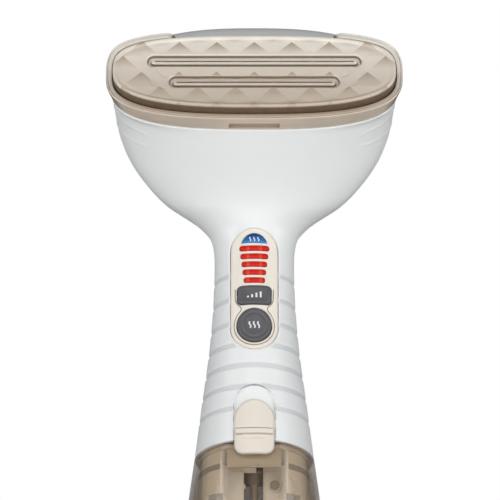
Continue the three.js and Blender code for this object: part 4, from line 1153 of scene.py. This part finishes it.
def ready_lens():
    profile = [(-4.2, PANEL_BACK), (-2, PANEL_BACK), (0, PANEL_BACK), (0, -0.1), (-0.1, -0.3), (-0.3, -0.47)]
    profile += [(-0.6, -0.53), (-1.2, -0.55), (-1.9, -0.56), (-2.4, -0.56)]
    reach = 2.6
    base = lens_outline(0)
    centre = np.array([0, LENS_TOP - LENS_RISE / 2 - 0.3])
    rings = []
    for moved, depth in profile:
        share = 1 + moved / reach * 0.98 if moved > -reach else 0.02
        ring = centre + (base - centre) * share
        rings.append(on_surface(PANEL, ring[:, 0], ring[:, 1], depth))
    finish_piece(stack("lens", rings), "handle", "ready_blue", "ready_lens")


def finish_key(kind, outline, profile, height):
    """A key of the panel with a stem behind it, down to its switch."""
    button = capped(f"{kind}_key", outline, profile, height)
    stem = lathe_on(PANEL, [(AXIS, -6.6), (2, -6.6), (2, -2.6), (AXIS, -2.6)], height)
    combine(button, [stem], "UNION")
    finish_piece(button, f"{kind}_button", "dark_button", f"{kind}_button")


def setting_button():
    def outline(moved):
        wide, tall = SETTING["wide"] - 2 * moved, SETTING["tall"] - 2 * moved
        return rounded(wide, tall, SETTING["corner"] - moved, around=8, along=16)

    profile = [(2.0, 3.2), (1.2, 3.2), (0.4, 3.2), (0, 2.9), (0, -0.3), (0.08, -0.62), (0.28, -0.88)]
    profile += [(0.6, -1.04), (1.0, -1.1), (1.5, -1.06), (2.0, -0.98)]
    finish_key("setting", outline, profile, SETTING["height"])


def steam_button():
    def outline(moved):
        size = 2 * (STEAM["radius"] - moved)
        return rounded(size, size, size / 2, around=20)

    profile = [(8.6, 3.2), (4, 3.2), (0.4, 3.2), (0, 2.9), (0, -0.4), (0.1, -0.78), (0.32, -1.06)]
    profile += [(0.7, -1.24), (1.1, -1.3), (1.5, -1.27), (2.0, -1.12), (2.3, -0.96), (2.5, -0.92)]
    profile += [(2.7, -0.98), (3.0, -1.12), (3.3, -1.18), (3.8, -1.16), (5.0, -1.07), (6.5, -1.0)]
    profile += [(8.0, -0.97), (8.7, -0.96)]
    finish_key("steam", outline, profile, STEAM["height"])


def lathe_on(plane, profile, height, around=32):
    """Turns (radius, out) pairs about a plane's own outward line."""
    turn = np.arange(around) / around * TURN
    return stack("turned", [plane.at(r * np.cos(turn), height + r * np.sin(turn), w) for r, w in profile])


def stroke(name, line, width, depth, body, rise=0.1, material=MARK, plane=PANEL):
    """A thin closed ribbon along a line of (u, v) points, lying on a face of the front."""
    line = np.asarray(line, float)
    along = np.gradient(line, axis=0)
    along /= np.linalg.norm(along, axis=1, keepdims=True)
    side = np.stack([-along[:, 1], along[:, 0]], -1) * width / 2
    u, v = np.moveaxis(np.stack([line + side, line - side]), -1, 0)
    mark = slab(name, on_surface(plane, u, v, depth - rise), on_surface(plane, u, v, depth + 0.12))
    finish_piece(mark, body, "cream_panel", material=material)


def wavy(x, low, high, swing=0.45):
    v = np.linspace(low, high, 14)
    return np.stack([x + swing * np.sin((v - low) / (high - low) * TURN), v], -1)


def panel_line():
    stroke("panel_line", keyhole_line(), 0.42, -PANEL_PROUD, "handle", 0.03, LINE_AND_CREASE_SHADE)


def marks():
    """Plain pictures in place of words: steam waves on the lens and the steam button, and rising bars."""
    middle = LENS_TOP - LENS_RISE + 1.9
    for i, x in enumerate((-2.1, 0.0, 2.1)):
        stroke(f"ready_mark_{i + 1}", wavy(x, middle - 1.0, middle + 1.1, 0.32), 0.5, -0.55, "handle")
    low = SETTING["height"] - 1.5
    for i, x in enumerate((-3.3, -1.1, 1.1, 3.3)):
        line = np.array([[x, low], [x, low + 0.9 + 0.75 * i]])
        stroke(f"setting_mark_{i + 1}", line, 1.0, -0.96, "setting_button")
    low = STEAM["height"] - 1.7
    for i, x in enumerate((-2.2, 0.0, 2.2)):
        stroke(f"steam_mark_{i + 1}", wavy(x, low, low + 3.4), 0.75, -0.98, "steam_button")


# ---- Latch ----


def latch_half_width(v):
    half, corner = LATCH_WIDE / 2, LATCH_CORNER
    arch = np.sqrt(np.maximum(half**2 - np.maximum(v - LATCH_ARCH, 0) ** 2, 0.01))
    low = half - corner + np.sqrt(np.maximum(corner**2 - np.maximum(LATCH_FOOT - v, 0) ** 2, 0))
    return np.where(v > LATCH_ARCH, arch, np.where(v < LATCH_FOOT, low, half))


def latch_edge(u, v):
    """Distance in from the latch's outline."""
    half, corner = LATCH_WIDE / 2, LATCH_CORNER
    arch = half - np.hypot(u, np.maximum(v - LATCH_ARCH, 0))
    du = np.maximum(np.abs(u) - (half - corner), 0)
    corner_gap = corner - np.hypot(du, np.maximum(LATCH_FOOT - v, 0))
    return np.maximum(np.where(v < LATCH_FOOT, np.minimum(arch, corner_gap), arch), 0)


def latch_depth(u, v):
    edge = latch_edge(u, v)
    depth = -LATCH_PROUD + 1.1 * round_edge(edge, 1.3)
    thumb = v - RIDGE_HEIGHT
    inside = ramp((edge - 0.55) / 0.3)
    top = ramp((1.3 - thumb) / 0.16) * ramp((thumb + 1.3) / 0.16)
    depth -= 0.8 * top * inside
    creases = ridge(thumb - CREASE_OFF, 0.2) + ridge(thumb + CREASE_OFF, 0.2)
    depth += 0.65 * creases * ramp((edge - 0.2) / 0.3)
    scoop = ramp(1 - ((thumb + 2.95) / 1.0) ** 2) * ramp(1 - (u / 6.4) ** 2)
    return depth + 0.6 * scoop


def latch_lines():
    """Fine painted shadow lines in the creases above and below the thumb ridge, and down the channel's edge.
    """
    for where, v in (("upper", RIDGE_HEIGHT + CREASE_OFF), ("lower", RIDGE_HEIGHT - CREASE_OFF)):
        line = np.stack([np.linspace(-9.4, 9.4, 24), np.full(24, v)], -1)
        stroke(f"latch_line_{where}", line, 0.44, 0.46 - LATCH_PROUD, "latch", 0.03, LINE_AND_CREASE_SHADE, LATCH)
    centre = RECESS_TOP - RECESS_HALF
    moved = np.linspace(0.05, 0.62, 6)[:, None]
    radius = RECESS_HALF - moved
    turn = np.linspace(0, math.pi, 60)
    up = np.linspace(-7.2, 5.6, 24) + 0 * moved
    high = np.linspace(5.7, centre - 0.2, 8) + 0 * moved
    arch_u = np.concatenate([-radius + 0 * high, -radius * np.cos(turn), radius + 0 * high], 1)
    arch_v = np.concatenate([high, centre + radius * np.sin(turn), high[:, ::-1]], 1)
    # Grey painted shade round the arch, darker painted shadow down the sides.
    lines = [("arch", arch_u, arch_v, CHANNEL_EDGE_SHADE)]
    lines += [(hand, side * radius + 0 * up, up, SHADOW) for side, hand in HANDS]
    for where, u, v, material in lines:
        depth = RECESS_DEPTH * ramp(moved / 0.55) + 0 * u
        outer, inner = on_surface(LATCH, u, v, depth - 0.06), on_surface(LATCH, u, v, depth + 0.12)
        line = slab(f"painted_channel_shade_{where}", outer, inner)
        finish_piece(line, "handle", "white_shell", material=material)


def release_latch():
    half = LATCH_TALL / 2
    bottom = -half + LATCH_CORNER * (1 - np.sin(np.linspace(math.pi / 2, 0, 16)))
    top = half - LATCH_WIDE / 2 * (1 - np.sin(np.linspace(0, math.pi / 2, 26)))
    ridge_lines = RIDGE_HEIGHT + np.array([-1.9, -1.7, -1.55, -1.42, -1.34, -1.26, -1.16, -1.05])
    ridge_lines = np.concatenate([ridge_lines, 2 * RIDGE_HEIGHT - ridge_lines])
    even = np.arange(bottom.max() + 0.3, top.min() - 0.2, 0.4)
    v = np.unique(np.round(np.concatenate([bottom, top, ridge_lines, even]), 4))[:, None]
    side = 1 - np.array([0, 0.004, 0.012, 0.025, 0.042, 0.062, 0.085, 0.11])
    s = np.concatenate([-side, np.linspace(-0.86, 0.86, 44), side[::-1]])[None, :]
    u = latch_half_width(v) * s
    v = np.broadcast_to(v, u.shape)
    outer = on_surface(LATCH, u, v, latch_depth(u, v))
    latch = slab("latch_key", outer, on_surface(LATCH, u, v, RECESS_DEPTH - GAP))
    post = prism("post", rounded(6, 8, 2, 0, 1), -8, 0, LATCH)
    foot = prism("foot", rounded(12, 9, 1, 0, 1), -8, -5.8, LATCH)
    combine(latch, [post, foot], "UNION")
    finish_piece(latch, "latch", "latch_beige", "tank_release_latch", crease=40)


# ---- Water tank ----


def pin_hole():
    return rod("pin", "x", 1, -12, 12, (0, HINGE_Y, HINGE_HEIGHT))


def tank_body():
    """The cup: outer and inner walls, with a flat pocket in front and a filler pad with lugs behind."""
    angle = (np.arange(160) / 160 * TURN)[None, :]
    outside = np.concatenate([[0, 0.012, 0.03], np.linspace(0.06, 4.9, 60), np.linspace(5, BASE, 26)])
    inside = np.concatenate([np.linspace(5.7, 4.8, 14), np.linspace(4.7, 0.02, 44), [0]])
    lip = round_edge(outside * 20, 0.5)
    outer = loft(TANK, outside[:, None], angle, lip[:, None])
    inner = loft(TANK, inside[:, None], angle, TANK_WALL)
    cup = stack("tank_vessel", np.concatenate([inner, outer]))
    block_outline = rounded(POCKET_WIDE + 5, 30, 3, 0, POCKET_LOW + 12.5)
    pad_block = prism("pocket_wall", block_outline, -POCKET_DEPTH - TANK_WALL, -POCKET_DEPTH + 3, LATCH)
    core_t = np.linspace(0, BASE, 40)[:, None]
    combine(pad_block, [stack("core", loft(TANK, core_t, angle, 0.2))], "INTERSECT")
    centre = (0, 0, CAP_HEIGHT)
    pad = pipe_cutter(CAP_RADIUS + 2, 42, CAP_FACE, centre)
    combine(pad, [pipe_cutter(CAP_HOLE + 1, 30, CAP_FACE - 4, centre)])
    low, high = HINGE_HEIGHT - 3, HINGE_HEIGHT + 3
    lugs = [block("lug", (x - 1.2, 43, low), (x + 1.2, 50.4, high), 0.5) for x in (-7, 7)]
    combine(cup, [pad_block, pad, *lugs], "UNION")
    pocket = rounded(POCKET_WIDE, 36, 3, 0, POCKET_LOW + 18, 10)
    cutters = [prism("pocket", pocket, -POCKET_DEPTH, 12, LATCH), pipe_cutter(CAP_HOLE, 30, 60, centre)]
    combine(cup, [*cutters, pin_hole()])
    finish_piece(cup, "tank", "smoke_tank", "water_tank", crease=28)


def filler_cap():
    """A lid with a dished face, a row of grip teeth on its rim, and a knuckle on the hinge pin."""
    inner = CAP_FACE + GAP
    face = inner + CAP_THICK
    hole = CAP_HOLE
    profile = [(AXIS, inner), (hole - 1.8, inner), (hole - 1.7, CAP_FACE - 1.8), (hole - 1.3, CAP_FACE - 2)]
    profile += [(hole - 0.8, CAP_FACE - 1.9), (hole - 0.7, inner - 0.1), (CAP_RADIUS - 0.3, inner)]
    profile += [(CAP_RADIUS, inner + 0.3), (CAP_RADIUS, face - 0.5), (CAP_RADIUS - 0.15, face - 0.2)]
    profile += [(CAP_RADIUS - 0.5, face), (CAP_RADIUS - 2.2, face), (CAP_RADIUS - 2.7, face - 0.5)]
    profile += [(CAP_RADIUS - 3.4, face - 0.6), (4, face - 0.45), (AXIS, face - 0.4)]
    centre = (0, 0, CAP_HEIGHT)
    cap = lathe("cap_lid", profile, "y", centre, 96)
    strap = block("strap", (-5.3, inner, CAP_HEIGHT + 8), (5.3, face, HINGE_HEIGHT), 0.4)
    knuckle_profile = [(AXIS, -5.3), (1.8, -5.3), (2, -5.1), (2, 5.1), (1.8, 5.3), (AXIS, 5.3)]
    knuckle = lathe("knuckle", knuckle_profile, "x", (0, HINGE_Y, HINGE_HEIGHT), 40)
    foot = CAP_HEIGHT - CAP_RADIUS
    tab = block("tab", (-4, face - 1.2, foot - 1.2), (4, face, foot + 2), 0.4)
    combine(cap, [strap, knuckle, tab], "UNION")
    teeth = []
    reach = CAP_RADIUS + 0.25
    for k in range(36):
        turn = (k + 0.5) / 36 * TURN
        if abs(math.sin(turn)) < 0.9:
            place = (math.cos(turn) * reach, 0, CAP_HEIGHT + math.sin(turn) * reach)
            teeth.append(rod("tooth", "y", 0.55, inner + 0.7, 52, place, 10))
    combine(cap, [*teeth, pin_hole()])
    finish_piece(cap, "filler_cap", "black_rubber", "filler_cap")


def suction_tube():
    low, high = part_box("suction_tube")
    low, high = low.z / MM, high.z / MM
    profile = [(1.3, low), (2.0, low), (2.2, low + 0.3), (2.2, high), (1.3, high)]
    tube = lathe("suction_pipe", profile, "z", (0, NECK_Y, 0), 48)
    finish_piece(tube, "tank", "tank_inner", "suction_tube", material=TUBE)


def tank_wall_patch(name, t, x, near, far, material):
    """A curved wall inside the front of the cup, between two levels and two places across."""
    t = np.asarray(t)[:, None]
    half = sections(TANK, t)[..., 4] - near
    share = np.clip(np.asarray(x)[None, :] / half, -0.999, 0.999)
    power = sections(TANK, t)[..., 6]
    angle = -np.arccos(np.sign(share) * np.abs(share) ** (power / 2))
    wall = slab(name, loft(TANK, t, angle, near), loft(TANK, t, angle, far))
    finish_piece(wall, "tank", "tank_inner", "tank_deck", material=material)


def deck_front():
    """Skirts hanging from the deck on both sides of the pocket, a dark strip of painted shade under the
    deck's edge, and small ledges on them.
    """
    tall, short = np.linspace(0.12, 1.62, 30), np.linspace(0.12, 1.31, 26)
    near, far, pale = SKIRT_NEAR, SKIRT_FAR, LIB["tank_inner"]
    for side, hand in HANDS:
        patches = [
            ("skirt", short, (16.6, 24.4, 9), near, far, SKIRT),
            ("skirt_outer", tall, (24.6, 28.6, 8), near + 0.25, far, SKIRT),
            ("skirt_far", tall, (28.8, 31.4, 8), near + 0.1, far, SKIRT),
            # A dark strip of painted shade where the deck's edge is seen from below.
            ("deck_edge_shade", [0.52, 0.57, 0.62, 0.68], (17.6, 30.6, 14), near - 0.5, near - 0.05, DECK_EDGE_SHADE),
            ("skirt_edge", short, (16.7, 17.5, 3), near - 0.6, near - 0.02, pale),
            ("ledge", [0.93, 0.96, 0.98], (19, 21 + 2 * side, 5), near - 0.9, near, pale),
        ]
        for name, t, places, nearer, farther, material in patches:
            tank_wall_patch(f"{name}_{hand}", t, side * np.linspace(*places), nearer, farther, material)


def deck_plate():
    """The deck under the parting plane, with the neck that docks into the handle."""
    angle = (np.arange(128) / 128 * TURN)[None, :]
    t = np.array([0.03, 0.045, 0.085, 0.125, 0.14])[:, None]
    inset = TANK_WALL + GAP + round_edge(np.array([0, 0.3, 2, 0.3, 0]), 0.3)[:, None]
    plate = stack("deck", loft(TANK, t, angle, inset))
    relief = prism("relief", rounded(POCKET_WIDE + 6, 60, 3), -POCKET_DEPTH - TANK_WALL - GAP, 20, LATCH)
    top = NECK_TOP
    profile = [(9, 85.5), (10.9, 85.5), (NECK_RADIUS, 85.8), (NECK_RADIUS, top - 5.3), (10.2, top - 5.3)]
    profile += [(10.2, top - 3.3), (NECK_RADIUS, top - 3.3), (NECK_RADIUS, top - 0.6)]
    profile += [(10.8, top - 0.1), (9, top)]
    web = lathe("web", [(4.4, 91), (8.98, 91), (8.98, 93), (4.4, 93)], "z", (0, NECK_Y, 0), 48)
    combine(plate, [relief, rod("hole", "z", 8.99, 60, 110, (0, NECK_Y, 0), 64)])
    finish_piece(plate, "tank", "tank_inner", "tank_deck", material=TUBE)
    # The neck and web are painted very dark: painted shade for the gaps between the inner pieces.
    neck = lathe("deck_neck", profile, "z", (0, NECK_Y, 0), 96)
    finish_piece(neck, "tank", "tank_inner", "tank_deck", material=DECK_SHADE)
    finish_piece(web, "tank", "tank_inner", "tank_deck", material=DECK_SHADE)
    web.name = "deck_web"
    backing = prism("pocket_backing", rounded(27.8, 12.0, 0.6, 0, -13.8), -8.2, -7.1, LATCH)
    finish_piece(backing, "tank", "tank_inner", "tank_deck", material=TUBE)


def inner_column():
    """A square duct under the deck, open at the back, with an arm at its top, ribs and a hook."""
    low, high = np.array([-16.6, -13.0, 5.0]), np.array([-5.4, -7.0, 89.0])
    shell = block("duct", low, high, 0.5)
    arm = block("arm", (-6, -12, 84.8), (1, -8, 89), 0.4)
    step = block("step", (-12.4, -13, 84.9), (-6, -12.4, 88.7), 0.25)
    hooks = [block("hook", (-5.6, -12.8, z), (-4.6, -11, z + 2.4), 0.4) for z in (76.5, 60, 44, 28)]
    fork = block("fork", (-5.6, -12.2, 67.2), (-2.5, -9, 68.6), 0.3)
    combine(shell, [arm, step, *hooks, fork], "UNION")
    hollow = block("hollow", low + [1.4, 1.4, -1], high + [-1.4, 2, -1.6], 0)
    slots = [block("line", (x, -14, 6), (x + 0.5, -12.7, 83.5), 0) for x in (-15.6, -6.9)]
    combine(shell, [hollow, *slots])
    finish_piece(shell, "tank", "tank_inner", "inner_column")


def boss_plate():
    """A flat guide with a round boss near its top, raised edges, and prongs down its inner side."""
    plate = block("guide", (4.6, -10, 5), (16.7, -8, 89), 0.4)
    x, z = 10.7, 78.4
    ring_profile = [(2.5, -12.7), (2.8, -13), (3.3, -13), (3.6, -12.7), (3.6, -9), (2.5, -9)]
    ring = lathe("ring", ring_profile, "y", (x, 0, z), 48)
    edges = [block("edge", (x_low, -11, 5), (x_low + 0.8, -9, 89), 0.25) for x_low in (4.6, 15.9)]
    fork = block("fork", (2.6, -11.6, 67.2), (6.4, -9, 68.6), 0.3)
    combine(plate, [ring, *edges, fork], "UNION")
    combine(plate, [pipe_cutter(2.5, -30, -9.2, (x, 0, z))])
    finish_piece(plate, "tank", "tank_inner", "boss_plate")
    # A darker disc at the bottom of the boss's hole: painted shade in the hole.
    pit = rod("boss_pit", "y", 2.4, -9.8, -9.25, (x, 0, z))
    finish_piece(pit, "tank", "tank_inner", "boss_plate", material=TUBE)


# ---- CAD nodes that stay, in the finish that the record gives them ----


def finish_cad_nodes():
    for entry in frame["record"]["materials"]:
        for name in entry.get("nodes", []):
            node = frame["nodes"][name]
            node.data.materials.clear()
            node.data.materials.append(LIB[entry["slot"]])


# ---- Camera, floor and light ----


def camera():
    """A long lens looking up at the steamer by a few degrees."""
    rise = math.radians(6.5)
    distance, aim = 1500.0, 203.0
    data = bpy.data.cameras.new("camera")
    data.lens = 203.97
    data.sensor_width = 36
    data.shift_x = -0.0086
    data.clip_end = 20
    made = bpy.data.objects.new("camera", data)
    made.location = Vector((0, -distance * math.cos(rise), aim - distance * math.sin(rise))) * MM
    made.rotation_euler = (math.pi / 2 + rise, 0, 0)
    bpy.context.scene.collection.objects.link(made)
    bpy.context.scene.camera = made


def floor():
    mesh = bpy.data.meshes.new("floor")
    size = 3.0
    corners = [(size * x, size * y, 0) for x, y in ((-1, -1), (1, -1), (1, 1), (-1, 1))]
    mesh.from_pydata(corners, [], [(0, 1, 2, 3)])
    made = bpy.data.objects.new("floor", mesh)
    mesh.materials.append(plastic("floor_paint", (226, 226, 224), 0.7, relief=0.02))
    bpy.context.scene.collection.objects.link(made)


def softbox(name, place, aim, size, power):
    data = bpy.data.lights.new(name, "AREA")
    data.shape = "RECTANGLE"
    data.size, data.size_y = size
    data.energy = power
    made = bpy.data.objects.new(name, data)
    made.location = place
    made.rotation_euler = (Vector(aim) - Vector(place)).to_track_quat("-Z", "Y").to_euler()
    bpy.context.scene.collection.objects.link(made)


def studio():
    """A backdrop that the camera sees white, cool light from all round, weaker above, and soft boxes."""
    world = bpy.data.worlds.new("studio")
    world.use_nodes = True
    world.node_tree.nodes.clear()
    n = Tree(world.node_tree)
    way = n.add("ShaderNodeTexCoord").outputs["Generated"]
    strength = n.spread(n.split(way)[2], 0.3, 0.05, 0.1, 0.8)
    lit = n.add("ShaderNodeBackground", {0: (0.95, 0.97, 1, 1), 1: strength}).outputs[0]
    seen = n.add("ShaderNodeBackground", {0: (1, 1, 1, 1)}).outputs[0]
    to_camera = n.add("ShaderNodeLightPath").outputs["Is Camera Ray"]
    mixed = n.add("ShaderNodeMixShader", {0: to_camera, 1: lit, 2: seen}).outputs[0]
    n.add("ShaderNodeOutputWorld", {0: mixed})
    bpy.context.scene.world = world
    middle = (0, 0, 0.19)
    softbox("key", (-0.25, -1.4, 0.3), middle, (1.0, 0.8), 4.9)
    softbox("fill", (0.6, -1.3, 0.25), middle, (0.9, 0.8), 3.2)
    softbox("low", (0, -0.5, 0.03), (0, -0.05, 0.24), (1.0, 0.06), 0.62)
    softbox("left", (-1.1, -0.5, 0.1), middle, (0.6, 0.9), 6.4)
    softbox("right", (1.1, -0.5, 0.1), middle, (0.6, 0.9), 6.4)
    softbox("sheen", (0, -0.24, 0.66), (0, -0.06, 0.3), (0.5, 0.1), 0.12)
    bpy.context.scene.view_settings.view_transform = "Standard"


# ---- Assembly ----

camera()
finish_cad_nodes()
front_housing()
rear_housing()
groove_shade_bands()
for screw_name, screw_centre in screw_places():
    case_screw(screw_name, screw_centre)
cord_gland()
steam_plate()
head_bezel()
control_panel()
ready_lens()
for bar_name, bar_wide, bar_height in bars():
    level_bar(bar_name, bar_wide, bar_height)
setting_button()
steam_button()
panel_line()
marks()
release_latch()
latch_lines()
tank_body()
filler_cap()
suction_tube()
inner_column()
boss_plate()
deck_plate()
deck_front()
floor()
studio()
